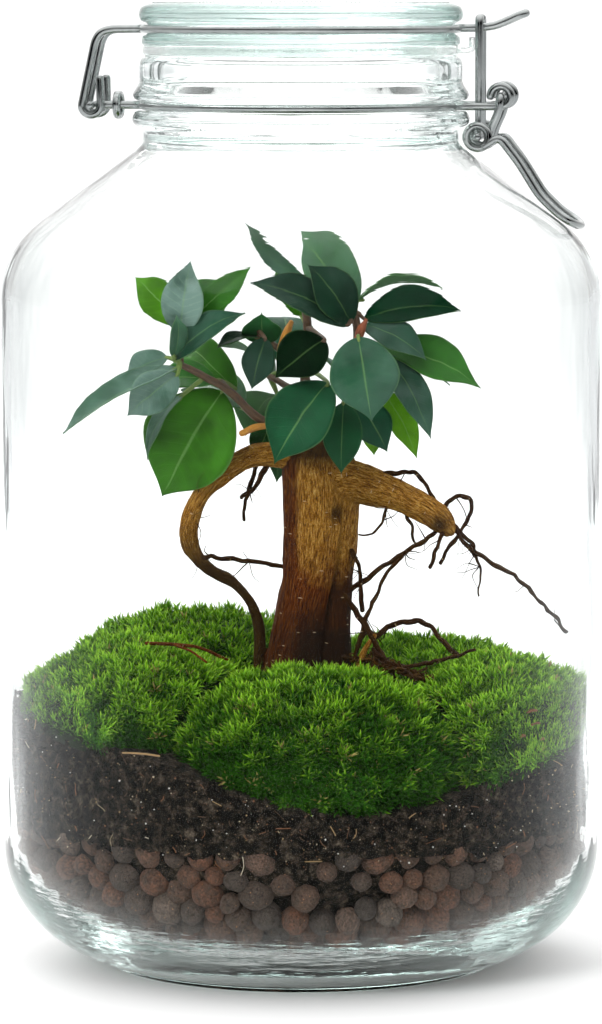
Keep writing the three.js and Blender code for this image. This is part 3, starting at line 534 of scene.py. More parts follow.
def bark_material():
    """Thin bark: fissures along the limb, pale cross marks, redder low down and dark at the crown; its
    darkness value also holds painted shade in the crease between the trunk's two lobes and on the lower
    right lobe
    """
    nodes = Nodes("ficus_bark")
    fissures = nodes.noise(nodes.along(1.0, 0.15), 2.1, 6.0, 0.8)
    flakes = nodes.noise(nodes.along(1.0, 0.6), 3.6, 5.0, 0.75)
    cloud = nodes.noise(nodes.place(), 0.09, 3.0)
    ochre = nodes.ramp(fissures, [(0.34, (0.03, 0.008, 0.001)), (0.44, (0.17, 0.06, 0.007)),
                                  (0.54, (0.44, 0.20, 0.028)), (0.68, (0.74, 0.49, 0.15))])
    russet = nodes.ramp(fissures, [(0.34, (0.008, 0.002, 0.001)), (0.47, (0.08, 0.014, 0.002)),
                                   (0.57, (0.21, 0.055, 0.006)), (0.7, (0.36, 0.16, 0.035))])
    patches = nodes.math("MULTIPLY", nodes.math("SUBTRACT", cloud, 0.5), 1.2)
    lowness = nodes.math("ADD", nodes.value("lowness"), patches)
    tint = nodes.over(ochre, lowness, [(0.2, 0.0), (0.8, 1.0)], russet)
    tint = nodes.over(tint, nodes.value("crown"), [(0.2, 0.0), (0.9, 0.9)], (0.022, 0.012, 0.006))
    # The darkness value: darker roots, scars, foot and arch, and painted shade in the trunk's crease and on
    # its lower right lobe
    tint = nodes.over(tint, nodes.value("darkness"), [(0.0, 0.0), (1.0, 0.97)], (0.013, 0.007, 0.004))
    tint = nodes.shaded(tint, flakes, [(0.32, 0.42), (0.66, 1.45)])
    marks = nodes.ramp(nodes.cells(nodes.along(0.26, 1.1), 0.62), [(0.08, 1.0), (0.12, 0.0)])
    tint = nodes.mix(nodes.math("MULTIPLY", marks, 0.8), tint, (0.62, 0.44, 0.24))
    relief = nodes.math("ADD", fissures, nodes.math("MULTIPLY", flakes, 0.5))
    return nodes.finish(tint, flakes, [(0.3, 0.6), (0.7, 0.9)], (relief, 0.9, 0.7), Specular_IOR_Level=0.1)


def leaf_veins(nodes, share, side):
    """Side veins that slant towards the tip"""
    along = nodes.math("MULTIPLY", share, 66.0)
    slant = nodes.math("MULTIPLY", side, 11.0)
    waves = nodes.math("SINE", nodes.math("SUBTRACT", along, slant))
    return nodes.ramp(waves, [(0.86, 0.0), (1.0, 0.22)])


def leaf_material():
    """Waxy blades: tone 0 is dark blue-green, 0.5 mid green, 1 bright green; a grey sheen, painted as a
    reflection of the bright room, is mixed into the colour
    """
    nodes = Nodes("waxy_leaf")
    tone = nodes.value("tone")
    under = nodes.value("under")
    side = nodes.math("ABSOLUTE", nodes.value("across"))
    cloud = nodes.noise(nodes.place(), 0.11, 4.0)
    fine = nodes.noise(nodes.place(), 1.4, 4.0, 0.7)
    tint = nodes.ramp(tone, [
        (0.0, (0.001, 0.006, 0.001)), (0.15, (0.002, 0.026, 0.010)), (0.3, (0.006, 0.052, 0.022)),
        (0.5, (0.018, 0.090, 0.022)), (0.75, (0.038, 0.150, 0.008)), (1.0, (0.11, 0.30, 0.008))])
    tint = nodes.shaded(tint, cloud, [(0.3, 0.62), (0.7, 1.3)])
    # Painted reflection: a grey sheen of the bright room, in patches, is mixed into the leaf's colour
    sheen = nodes.ramp(nodes.noise(nodes.place(), 0.075, 3.0), [(0.38, 0.35), (0.62, 1.2)])
    bloom = nodes.math("MULTIPLY", nodes.value("bloom"), sheen, clamp=True)
    tint = nodes.mix(nodes.math("MULTIPLY", bloom, 0.8), tint, (0.21, 0.31, 0.27))
    veins = leaf_veins(nodes, nodes.value("share"), side)
    tint = nodes.mix(veins, tint, nodes.mix(1.0, tint, (1.9, 1.8, 1.5), "MULTIPLY"))
    pale = nodes.mix(0.6, tint, (0.20, 0.36, 0.11))
    strength = nodes.ramp(tone, [(0.1, 0.35), (0.8, 0.9)])
    for lines in ([(0.014, 1.0), (0.045, 0.0)], [(0.95, 0.0), (0.99, 0.7)]):
        tint = nodes.mix(nodes.math("MULTIPLY", nodes.ramp(side, lines), strength), tint, pale)
    tint = nodes.mix(nodes.math("MULTIPLY", under, 0.6), tint, (0.09, 0.17, 0.09))
    relief = nodes.math("ADD", nodes.math("MULTIPLY", veins, 1.6), nodes.math("MULTIPLY", fine, 0.35))
    gloss = nodes.ramp(fine, [(0.3, 0.36), (0.7, 0.52)])
    gloss = nodes.math("ADD", gloss, nodes.math("MULTIPLY", under, 0.25))
    nodes.set(Base_Color=tint, Roughness=gloss, Normal=nodes.bump(relief, 0.35, 0.25),
              Specular_IOR_Level=nodes.ramp(tone, [(0.02, 0.02), (0.3, 0.1)]))
    return nodes.material


def twig_material():
    """Twigs by tone: brown wood, green stalk, red bud and amber bud"""
    nodes = Nodes("twig")
    streaks = nodes.noise(nodes.along(1.5, 0.3), 1.5, 4.0)
    tint = nodes.ramp(streaks, [(0.3, (0.035, 0.017, 0.010)), (0.7, (0.14, 0.075, 0.04))])
    later_kinds = (
        (0.2, (0.07, 0.13, 0.025), (0.2, 0.27, 0.07)),
        (0.5, (0.14, 0.025, 0.012), (0.34, 0.10, 0.04)),
        (0.8, (0.28, 0.10, 0.015), (0.62, 0.28, 0.04)),
    )
    for start, dark, light in later_kinds:
        kind = nodes.ramp(streaks, [(0.3, dark), (0.7, light)])
        tint = nodes.over(tint, nodes.value("tone"), [(start, 0.0), (start + 0.1, 1.0)], kind)
    return nodes.finish(tint, streaks, [(0.3, 0.45), (0.7, 0.75)], (streaks, 0.5, 0.2))


def floor_material():
    """A pale floor, palest in a strip that widens behind the jar, so that clear glass shows its edges"""
    strip_start = 1.57
    nodes = Nodes("studio_floor")
    palest = nodes.mix(nodes.noise(nodes.place(), 0.004, 2.0), (0.93, 0.93, 0.93), (0.95, 0.95, 0.95))
    spot = nodes.node("TexCoord", {}).outputs["Object"]
    turned = nodes.node("Mapping", {"Vector": spot, "Rotation": (0, 0, -PLANTING_TURN)}).outputs[0]
    split = nodes.node("SeparateXYZ", {0: turned})
    aside = nodes.math("ABSOLUTE", split.outputs["X"])
    behind = nodes.math("MAXIMUM", nodes.math("ADD", split.outputs["Y"], strip_start), 0.3)
    slope = nodes.math("DIVIDE", aside, behind)
    tint = nodes.over(palest, slope, [(0.09, 0.0), (0.2, 1.0)], (0.62, 0.63, 0.64))
    nodes.set(Base_Color=tint, Roughness=0.9)
    return nodes.material


# The jar and its lid

def uneven_inside(angles, heights, radii):
    """Pressed glass is a little uneven on the inside of its wall, up to the shoulder"""
    is_inner_wall = np.abs(radii - BODY_RADIUS + WALL) < 0.01
    fade = np.clip((SHOULDER_BASE - heights) / 40, 0, 1) * np.clip((heights - INNER_HEEL_TOP) / 20, 0, 1)
    waves = 0.10 * np.sin(3 * angles + heights / 17) + 0.06 * np.sin(7 * angles - heights / 9)
    return is_inner_wall * fade * waves


def jar_profile():
    heel = arc(HEEL_CENTRE, HEEL_HEIGHT, BODY_RADIUS - HEEL_CENTRE, HEEL_HEIGHT, -75, 0, 18)
    shoulder_centre = BODY_RADIUS - SHOULDER_RADIUS
    shoulder = arc(shoulder_centre, SHOULDER_BASE, SHOULDER_RADIUS, SHOULDER_RADIUS, 0, SHOULDER_TURN, 12)
    foot = [(0, PUNT_HEIGHT), (20, PUNT_HEIGHT), (40, PUNT_HEIGHT), (51, PUNT_HEIGHT), (56, 0), (60.5, 0)]
    inner_shoulder = shoulder[::-1] - [WALL, SHOULDER_DROP]
    inner_heel = arc(HEEL_CENTRE, INNER_HEEL_TOP, BODY_RADIUS - WALL - HEEL_CENTRE, INNER_HEEL_TOP - FLOOR,
                     0, -90, 16)
    groove_low = NECK_WIRE_HEIGHT - WIRE_RADIUS - GROOVE_GAP
    groove_high = NECK_WIRE_HEIGHT + WIRE_RADIUS + GROOVE_GAP
    neck = [
        (50.8, 247.8), (47.9, 250.5), (47.9, 254.2), (51, 256), (51.4, 258), (50.4, groove_low),
        (GROOVE_RADIUS, groove_low), (GROOVE_RADIUS, groove_high), (50.4, groove_high), (51.3, 265),
        (49, 268.6), (49, 275), (47.6, LIP), (44.4, LIP), (MOUTH_RADIUS, 275.4), (MOUTH_RADIUS, 264),
        (MOUTH_RADIUS, 254), (46.4, 248.2),
    ]
    wall = np.column_stack([np.full(7, BODY_RADIUS), np.linspace(HEEL_HEIGHT, SHOULDER_BASE, 9)[1:-1]])
    inner_wall = np.column_stack([np.full(24, BODY_RADIUS - WALL),
                                  np.linspace(SHOULDER_BASE - SHOULDER_DROP, INNER_HEEL_TOP, 26)[1:-1]])
    floor = [(34, FLOOR), (17, FLOOR), (0, FLOOR)]
    outside = rounded([*foot, *heel, *wall, *shoulder, *neck], 1.1, 3)
    return dense(np.vstack([outside[:-1], inner_shoulder, inner_wall, inner_heel, floor]), 3.0, 44.0)


def lid_profile():
    groove_low = LID_WIRE_HEIGHT - WIRE_RADIUS - GROOVE_GAP
    groove_high = LID_WIRE_HEIGHT + WIRE_RADIUS + GROOVE_GAP
    return rounded([
        (0, LIP - 1), (20, LIP - 1), (36, LIP - 1), (38, LIP - 3), (40, LIP - 3), (41.2, FLANGE),
        (48.3, FLANGE), (48.3, 282.6), (GROOVE_RADIUS, groove_low), (GROOVE_RADIUS, groove_high),
        (48.8, 287.2), (49.3, 289.4), (48.6, 291.4), (46.4, 292.5), (43, 292.5), (41, 291.4), (20, 291.4),
        (0, 291.4),
    ], 0.9, 4)


def make_glass(material):
    jar = Form()
    lathe(jar, jar_profile(), 132, uneven_inside)
    make_piece("jar_glass", jar, material, "jar", "glass_jar")
    lid = Form()
    lathe(lid, lid_profile(), 108)
    make_piece("lid_glass", lid, material, "lid", "glass_lid")


def make_studs(material):
    """The ring of small studs on the lid"""
    count, ring_radius, height, half = 200, 44.7, 292.42, 0.5
    form = Form()
    points, faces = ball(0)
    for k in range(count):
        form.add(spot_at(ring_radius, FULL_TURN * k / count, height) + points * half, faces)
    make_piece("lid_studs", form, material, "lid", "glass_lid")


def add_pull_tab(form):
    """The tab of the gasket: a flat strip with rounded edges that bends up outside the lid"""
    half, thick = 3.6, 0.85
    tab = rounded([(46.5, 278.3), (50.6, 278.3), (52.2, 278.6), (52.2, 282.2)], 1.5, 5)
    corners = [(half, thick), (half, -thick), (-half, -thick), (-half, thick)]
    section = rounded([(0, thick), *corners, (0, thick)], 0.6, 3)[:-1]
    route = np.column_stack([tab[:, 0], np.zeros(len(tab)), tab[:, 1]])
    sideways = np.array([0.0, 1.0, 0.0])
    upward = np.cross(unit(np.gradient(route, axis=0)), sideways)
    rings = route[:, None, :] + section[None, :, :1] * sideways + section[None, :, 1:] * upward[:, None, :]
    faces = ring_faces(len(route), len(section)) + end_faces(len(route), len(section))
    form.add(rings.reshape(-1, 3), faces)


def make_gasket(material):
    inner, middle, outer = 42.2, 45, 48
    low, high = LIP + 0.02, FLANGE - 0.02
    form = Form()
    ring = [(middle, low), (outer - 0.1, low), (outer, high), (inner, high), (inner, low), (middle, low)]
    lathe(form, rounded(ring, 0.8, 4), 144)
    add_pull_tab(form)
    make_piece("gasket_ring", form, material, "lid", "gasket")


# The wires

def wire(form, points, bend=1.6):
    tube(form, rounded(points, bend), WIRE_RADIUS, WIRE_SIDES, wide=WIRE_RADIUS)


def wire_ring(form, height):
    angles = np.linspace(0, FULL_TURN, 121)[:-1]
    route = spot_at(RING_RADIUS, angles, height)
    tube(form, route, WIRE_RADIUS, WIRE_SIDES, closed=True, wide=WIRE_RADIUS)


def in_plane(y, places):
    """Places at one distance y from the jar's middle plane, from their x and z"""
    return [(x, y, z) for x, z in places]


def make_neck_wire(material):
    """The ring, the pins of the hinge at its left and the eyes of the lever at its right"""
    form = Form()
    wire_ring(form, NECK_WIRE_HEIGHT)
    eye = arc(PIVOT_X, PIVOT_Z, EYE_RADIUS, EYE_RADIUS, -90, 180, 18)
    for side in (-1, 1):
        pin = [(-RING_RADIUS + 1, side * 3, NECK_WIRE_HEIGHT), (HINGE_X + 0.2, side * 3, NECK_WIRE_HEIGHT),
               (HINGE_X, side * 9, NECK_WIRE_HEIGHT)]
        wire(form, pin)
        arm = [(RING_RADIUS - 2, NECK_WIRE_HEIGHT), (PIVOT_X - 4, NECK_WIRE_HEIGHT)]
        wire(form, in_plane(side * EYE_Y, [*arm, *eye]))
    make_piece("neck_wire", form, material, "jar", "neck_ring")


def make_hinge_band(material):
    """An oval band round the two hinge arms, with a rounded section"""
    steps, sides = 48, 12
    half_width, half_height, reach, half_length = 5.25, 3.75, 0.62, 1.2
    angles = np.arange(steps) * FULL_TURN / steps
    turn = np.arange(sides) * FULL_TURN / sides
    swell = reach * np.cos(turn)
    points = np.stack(np.broadcast_arrays(
        BAND_X + half_length * np.sin(turn),
        (half_width + swell) * np.cos(angles)[:, None],
        NECK_WIRE_HEIGHT + (half_height + swell) * np.sin(angles)[:, None]), axis=-1)
    length = angles * (half_width + half_height) / 2
    form = Form()
    form.add(points.reshape(-1, 3), ring_faces(steps, sides, closed=True), length=np.repeat(length, sides),
             turn=np.tile(turn, steps), wide=1.0)
    make_piece("hinge_band", form, material, "jar", "hinge_collar")


def make_lid_wire(material):
    """The ring, two arms that curl round the hinge pins, and the beak that the link holds"""
    form = Form()
    wire_ring(form, LID_WIRE_HEIGHT)
    curl = arc(HINGE_X, NECK_WIRE_HEIGHT, CURL_RADIUS, CURL_RADIUS, -176, 0, 14)
    arm = [(-57.2, LID_WIRE_HEIGHT - 0.1), (-60.4, LID_WIRE_HEIGHT - 1), (-62.0, LID_WIRE_HEIGHT - 3.6),
           *curl, (HINGE_X + 2.7, NECK_WIRE_HEIGHT + 8)]
    for side in (-1, 1):
        start = (-RING_RADIUS + 1, side * (CURL_Y - 1), LID_WIRE_HEIGHT)
        wire(form, [start, *in_plane(side * CURL_Y, arm)])
    half = [(46.6, 284.9), (54.8, 285.1), (59, 285.7), (62.8, 287.2), BEAK_END]
    tip = arc(BEAK_END[0], 0, BEAK_Y, BEAK_Y, -60, 60, 8)
    bend = [(x, y, BEAK_END[1] + (x - BEAK_END[0]) * 0.35) for x, y in tip]
    wire(form, [*in_plane(-BEAK_Y, half), *bend, *in_plane(BEAK_Y, reversed(half))])
    make_piece("lid_wire_loop", form, material, "lid", "lid_wire")


def lever_half(side):
    """Half of the lever's wire: a pin, an arm, a coil round the link's bar and a leg of the finger loop"""
    coil_turns, coil_width, steps = 1.22, 2.5, 30
    coil_start = math.radians(10)
    leg = [(61, 252.6), (67, 244.8), (73, 235.2), (78.5, 229.8), LOOP_START]
    half = [(PIVOT_X, side * 8.1, PIVOT_Z), (PIVOT_X, side * (LEVER_Y - 0.2), PIVOT_Z),
            (PIVOT_X - 0.4, side * (LEVER_Y - 0.2), 260), (59.0, side * (LEVER_Y - 0.9), 256)]
    for k in range(steps + 1):
        angle = coil_start - coil_turns * FULL_TURN * k / steps
        x = COIL_X + COIL_RADIUS * math.cos(angle)
        y = LEVER_Y - 1.2 + coil_width * k / steps
        z = COIL_Z + COIL_RADIUS * math.sin(angle)
        half.append((x, side * y, z))
    return half + [(x, side * (LEVER_Y + 1.2 * max(0, (66 - x) / 8)), z) for x, z in leg]


def make_lever(material):
    """One wire: its two halves, joined by the end of the finger loop"""
    end = arc(LOOP_START[0], 0, 3.6, LEVER_Y, -75, 75, 12)
    loop = [(x, y, LOOP_START[1] - (x - LOOP_START[0]) * 0.6) for x, y in end]
    form = Form()
    wire(form, [*lever_half(-1), *loop, *reversed(lever_half(1))], 2.2)
    make_piece("lever_wire", form, material, "lever", "clip_lever")


def make_link(material):
    """A bar through the lever's coils, and two legs that hook over the beak"""
    half_bar = 15
    form = Form()
    wire(form, [(COIL_X, -half_bar, COIL_Z), (COIL_X, 0, COIL_Z), (COIL_X, half_bar, COIL_Z)], 0)
    for side in (-1, 1):
        wire(form, [(COIL_X, side * LINK_Y, COIL_Z), (COIL_X, side * LINK_Y, LINK_TOP),
                    (COIL_X, side * HOOK_END, LINK_TOP)], 2.0)
    make_piece("link_wire", form, material, "link", "clip_link")


# Pebbles

def cavity_wall():
    """The inside of the jar, from its floor up to the top of the pebbles"""
    return np.vstack([
        [(22, FLOOR), (36, FLOOR)],
        arc(HEEL_CENTRE, INNER_HEEL_TOP, GLASS_INSIDE - HEEL_CENTRE, INNER_HEEL_TOP - FLOOR, -90, 0, 40),
        [(GLASS_INSIDE, 42), (GLASS_INSIDE, PEBBLE_TOP + 1)]])


def packed_spots(wall, lengths, draw):
    """Pebbles strewn on the wall and pushed apart until they lie side by side"""
    most, cover, nearest, rounds = 700, 0.86, 0.97, 70
    ring = FULL_TURN * wall[:, 0]
    strips = 0.5 * (ring[1:] + ring[:-1]) * np.diff(lengths)
    area = np.sum(strips)
    halves = draw.uniform(3.2, 5.6, most)
    halves = halves[np.cumsum(math.pi * halves ** 2) < cover * area]
    chance = np.concatenate([[0], np.cumsum(strips)]) / area
    place = np.interp(draw.uniform(0, 1, len(halves)), chance, lengths)
    angle = draw.uniform(0, FULL_TURN, len(halves))
    wanted = nearest * (halves[:, None] + halves[None, :])
    for _ in range(rounds):
        radius = np.interp(place, lengths, wall[:, 0]) - 0.8 * halves
        apart = angle[:, None] - angle[None, :]
        apart = (apart + math.pi) % FULL_TURN - math.pi
        sideways = apart * 0.5 * (radius[:, None] + radius[None, :])
        upward = place[:, None] - place[None, :]
        distance = np.sqrt(sideways ** 2 + upward ** 2) + 1e-6
        push = np.where(distance < wanted, 0.3 * (wanted - distance) / distance, 0.0)
        np.fill_diagonal(push, 0.0)
        place = np.clip(place + (push * upward).sum(axis=1), 2.0, lengths[-1] - 2.5)
        angle = angle + (push * sideways).sum(axis=1) / radius
    return place, angle, halves


def limit_radius(points, limit):
    """Pulls points back that stand further from the jar's axis than a limit"""
    radii = np.hypot(points[:, 0], points[:, 1])
    points[:, :2] *= np.minimum(1, limit / np.maximum(radii, 1e-6))[:, None]


def keep_inside(points, wall, gap=0.3):
    """Pulls points back that would stand through the inside of the jar"""
    limit_radius(points, np.interp(points[:, 2], wall[:, 1], wall[:, 0]) - gap)
    points[:, 2] = np.maximum(points[:, 2], FLOOR + gap)


def pebble(place, angle, half, wall, lengths, draw):
    """Points and faces of one pebble against the wall, turned, squeezed and dented a little"""
    least_fine_half, least_fine_height = 4, 12
    slopes = np.arctan2(np.diff(wall[:, 1]), np.diff(wall[:, 0]))
    radius = np.interp(place, lengths, wall[:, 0])
    height = np.interp(place, lengths, wall[:, 1])
    is_fine = half > least_fine_half and height > least_fine_height
    points, faces = ball(2 if is_fine else 1)
    slope = np.interp(place, lengths[1:], slopes)
    depth = half + 0.25 + draw.uniform(0, 1.6)
    centre = spot_at(radius - math.sin(slope) * depth, angle, height + math.cos(slope) * depth)
    spin, _ = np.linalg.qr(draw.normal(size=(3, 3)))
    bumps = 1 + 0.10 * rough(points, 0.7, draw.uniform(0, 50))
    bumps = bumps + 0.04 * rough(points, 0.22, draw.uniform(0, 50))
    shape = centre + (points * bumps[:, None] * draw.uniform(0.88, 1.08, 3) * half) @ spin
    keep_inside(shape, wall)
    return shape, faces


def make_pebbles(material):
    """One layer of pebbles against the glass"""
    draw = np.random.default_rng(31)
    wall = cavity_wall()
    lengths = lengths_along(wall)
    form = Form()
    for place, angle, half in zip(*packed_spots(wall, lengths, draw)):
        form.add(*pebble(place, angle, half, wall, lengths, draw), tone=draw.uniform(0, 1))
    plant_piece("pebbles", form, material, "clay_pebbles")


def make_pebble_soil(material):
    """The crumbly soil between and behind the pebbles"""
    core = rounded([(0, FLOOR + 3), (48, FLOOR + 3), (66, 17), (77, 26), (83.5, 37), (84.6, 42),
                    (84.6, PEBBLE_TOP), (0, PEBBLE_TOP)], 3)
    crumbly_radius = 60.0

    def crumbs(angles, heights, radii):
        spots = spot_at(radii, angles, heights).reshape(-1, 3)
        rise = 0.9 * rough(spots, 3.4, 6.0) + 0.5 * rough(spots, 1.4, 1.0)
        return rise.reshape(radii.shape) * (radii > crumbly_radius)

    form = Form()
    lathe(form, dense(core, 1.8, crumbly_radius), 200, crumbs)
    plant_piece("pebble_soil", form, material, "clay_pebbles")


# Soil

# What lies in the soil by tone, from dark root over rusty bark to straw and white perlite, and its chance
FIBRE_TONES = {0.1: 0.25, 0.3: 0.2, 0.45: 0.15, 0.55: 0.12, 0.72: 0.12, 0.85: 0.10, 0.92: 0.06}
FLECK_TONES = {0.2: 0.3, 0.4: 0.25, 0.55: 0.16, 0.75: 0.14, 0.9: 0.09, 1.0: 0.06}
FLECK_POINTS = np.array([(1, 0, 0), (0, 1, 0), (-1, 0, 0), (0, -1, 0), (0, 0, 1), (0, 0, -1)], float)
FLECK_FACES = [(k, (k + 1) % 4, 4) for k in range(4)] + [((k + 1) % 4, k, 5) for k in range(4)]

# A straw and rusty husks on the glass, each from one turn to another, with height, radius and tone
GLASS_BITS = (
    (-126, -117.8, 73.8, 0.3, 0.7), (-41, -38.5, 84, 0.5, 0.55), (-40, -37.5, 80, 0.45, 0.5),
    (-43, -42, 77, 0.5, 0.55), (-37, -36, 75, 0.4, 0.6),
)


def soil_height(x, y):
    """Height of the soil: a level bed, lower at the front, where the moss reaches the glass"""
    front = np.clip((-y - 25) / 60, 0, 1)
    hollow = 19 * front * np.exp(-((x - 16) ** 2) / 3200)
    right = 8 * np.clip(x / 90, 0, 1)
    return SOIL_LEVEL + 0.04 * y - hollow - right + 0.8 * np.sin(x / 9) * np.cos(y / 11)


def soil_top(angle, reach=CAVITY_RADIUS):
    """Height of the soil at a turn"""
    return soil_height(reach * np.cos(angle), reach * np.sin(angle))


def soil_bed():
    """The bed of soil: a crumbly wall from a wavy lower edge up to an uneven top"""
    sides, levels, top_rings = 240, 30, 26
    angles = np.arange(sides) * FULL_TURN / sides
    top = soil_top(angles)
    rim = spot_at(60, angles, 0)
    bottom = PEBBLE_TOP - 1.0 + 3.4 * rough(rim, 5.0, 3.0) + 1.8 * rough(rim, 2.0, 4.0)
    rings = []
    for level in range(levels):
        height = bottom + (top - bottom) * level / (levels - 1)
        spots = spot_at(CAVITY_RADIUS, angles, height)
        dents = 0.55 * rough(spots, 3.2, 5.0) + 0.35 * rough(spots, 1.1, 9.0)
        rings.append(spot_at(CAVITY_RADIUS - 0.35 + np.minimum(dents, 0.6), angles, height))
    for radius in np.linspace(84, 2, top_rings):
        spots = spot_at(radius, angles, soil_top(angles, radius))
        spots[:, 2] += 1.3 * rough(spots, 4.5, 2.0) + 0.7 * rough(spots, 1.6, 8.0)
        rings.append(spots)
    return np.vstack(rings), ring_faces(len(rings), sides) + end_faces(len(rings), sides)


def crumb(draw):
    """A lump of soil that lies against the glass"""
    angle = draw.uniform(0, FULL_TURN)
    height = draw.uniform(PEBBLE_TOP + 1, soil_top(angle) + 1)
    half = draw.uniform(0.35, 1.3)
    points, faces = ball(0)
    bumps = 1 + 0.35 * rough(points, 0.6, draw.uniform(0, 90))
    spots = points * bumps[:, None] * half * draw.uniform(0.6, 1.2, 3)
    spots = spot_at(CAVITY_RADIUS - 0.35 * half, angle, height) + spots
    limit_radius(spots, GLASS_INSIDE - 0.3)
    return spots, faces


def place_in_soil(reach, draw):
    """A turn and a height where soil or the highest pebbles show"""
    angle = draw.uniform(0, FULL_TURN)
    return angle, draw.uniform(PEBBLE_TOP - 4, soil_top(angle, reach))


def chosen_tone(chances, draw):
    return draw.choice(list(chances), p=list(chances.values()))


def add_fibre(form, draw):
    """A short bent bit of root or straw"""
    reach = GLASS_INSIDE - 0.45
    angle, height = place_in_soil(reach, draw)
    length = draw.uniform(1.0, 6.0) * draw.uniform(0.3, 1)
    lean = draw.uniform(0, math.pi)
    bow = draw.uniform(-1, 1) * length
    shares = np.array([-0.5, 0, 0.5])
    across = shares * length * math.cos(lean) + bow * (0.25 - shares ** 2) * math.sin(lean)
    stations = spot_at(reach, angle + across / reach, height + shares * length * math.sin(lean))
    thick = draw.uniform(0.06, 0.17)
    tube(form, smooth(stations, 3), thick, 5, tone=chosen_tone(FIBRE_TONES, draw), wide=thick)


def add_glass_bit(form, start, end, height, thick, tone):
    """A thin bit, bent a little upwards, that lies along the glass"""
    stations, lift = 7, 0.3
    turns = np.radians(np.linspace(start, end, stations))
    heights = height + lift * np.sin(np.linspace(0, 3, stations))
    tube(form, spot_at(GLASS_INSIDE - 0.3 - thick, turns, heights), thick, 6, tone=tone, wide=thick)


def add_fleck(form, draw):
    """A speck of bark or perlite"""
    reach = GLASS_INSIDE - 0.55
    angle, height = place_in_soil(reach, draw)
    size = draw.uniform(0.08, 0.42) * draw.uniform(0.4, 1, 3)
    spots = spot_at(reach, angle, height) + FLECK_POINTS * size
    form.add(spots, FLECK_FACES, tone=chosen_tone(FLECK_TONES, draw))


def make_soil(material, litter):
    crumbs, fibres, flecks = 2200, 260, 2400
    draw = np.random.default_rng(47)
    bed = Form()
    bed.add(*soil_bed())
    for _ in range(crumbs):
        bed.add(*crumb(draw))
    plant_piece("soil_bed", bed, material, "potting_soil")
    bits = Form()
    for _ in range(fibres):
        add_fibre(bits, draw)
    for row in GLASS_BITS:
        add_glass_bit(bits, *row)
    for _ in range(flecks):
        add_fleck(bits, draw)
    plant_piece("soil_bits", bits, litter, "potting_soil")


# Moss

CUSHIONS = {
    "moss_front": {"centre": (3, -50, 66), "size": (47, 37, 30), "shoots": 6400, "tone": 0.35},
    "moss_left": {"centre": (-49, -33, 76), "size": (36, 36, 27), "shoots": 4200, "tone": 0.66},
    "moss_right": {"centre": (60, -28, 70), "size": (31, 42, 27), "shoots": 4200, "tone": 0.66},
    "moss_back_left": {"centre": (-32, 34, 80), "size": (42, 40, 24), "shoots": 2700, "tone": 0.62},
    "moss_back_right": {"centre": (36, 38, 74), "size": (44, 40, 21), "shoots": 2600, "tone": 0.55},
}


def inside_cushion(points, name, shrink=0.0):
    place = CUSHIONS[name]
    size = np.array(place["size"], float) - shrink
    return (((points - np.array(place["centre"])) / size) ** 2).sum(axis=1) < 1


def moss_spots(name, count, draw):
    """Roots of the shoots and the way they grow, over the part of the cushion that is free"""
    spare, depth, trunk, trunk_radius = 2.6, 1.35, (3.5, -1), 11.5
    centre = np.array(CUSHIONS[name]["centre"], float)
    size = np.array(CUSHIONS[name]["size"], float) - 4.2
    wanted = int(count * spare)
    order = np.arange(wanted) + 0.5
    polar = np.arccos(1 - depth * order / wanted)
    golden = math.pi * (1 + math.sqrt(5)) * order
    ways = np.column_stack([np.cos(golden) * np.sin(polar), np.sin(golden) * np.sin(polar), np.cos(polar)])
    ways = unit(ways + draw.normal(0, 0.02, ways.shape))
    points = centre + ways * size
    outward = unit(ways / size)
    clumps = rough(points, 7.0, 4.0) + 0.6 * rough(points, 3.2, 12.0)
    points = points + outward * (1.7 * clumps)[:, None]
    radii = np.hypot(points[:, 0], points[:, 1])
    at_glass = radii > CAVITY_RADIUS - 0.5
    points[:, :2] *= np.where(at_glass, (CAVITY_RADIUS - 1.2) / np.maximum(radii, 1e-6), 1.0)[:, None]
    around = unit(points * [1, 1, 0])
    pressed = unit(outward - 0.75 * around * (outward * around).sum(axis=1, keepdims=True) + [0, 0, 0.25])
    outward = np.where(at_glass[:, None], pressed, outward)
    free = points[:, 2] > soil_height(points[:, 0], points[:, 1]) - 1.0
    for other in CUSHIONS:
        if other == name:
            break
        free &= ~inside_cushion(points, other, -1.2)
    free &= np.hypot(points[:, 0] - trunk[0], points[:, 1] - trunk[1]) > trunk_radius
    points, outward, clumps = points[free], outward[free], clumps[free]
    chosen = draw.permutation(len(points))[:count]
    return points[chosen], outward[chosen], clumps[chosen]


def add_mound(form, name):
    """The soft body of a cushion, under its shoots"""
    ways, faces = ball(3)
    centre = np.array(CUSHIONS[name]["centre"], float)
    size = np.array(CUSHIONS[name]["size"], float) - 4.0
    base = centre + ways * size
    base = base + unit(ways / size) * (1.6 * rough(base, 7.0, 4.0) + 0.7 * rough(base, 3.2, 12.0))[:, None]
    limit_radius(base, CAVITY_RADIUS)
    base[:, 2] = np.maximum(base[:, 2], soil_height(base[:, 0], base[:, 1]) - 3)
    # The mound takes the dark colour of the shoots' feet, partly painted shade under the shoots
    form.add(base, faces, share=0.05, tone=0.4)


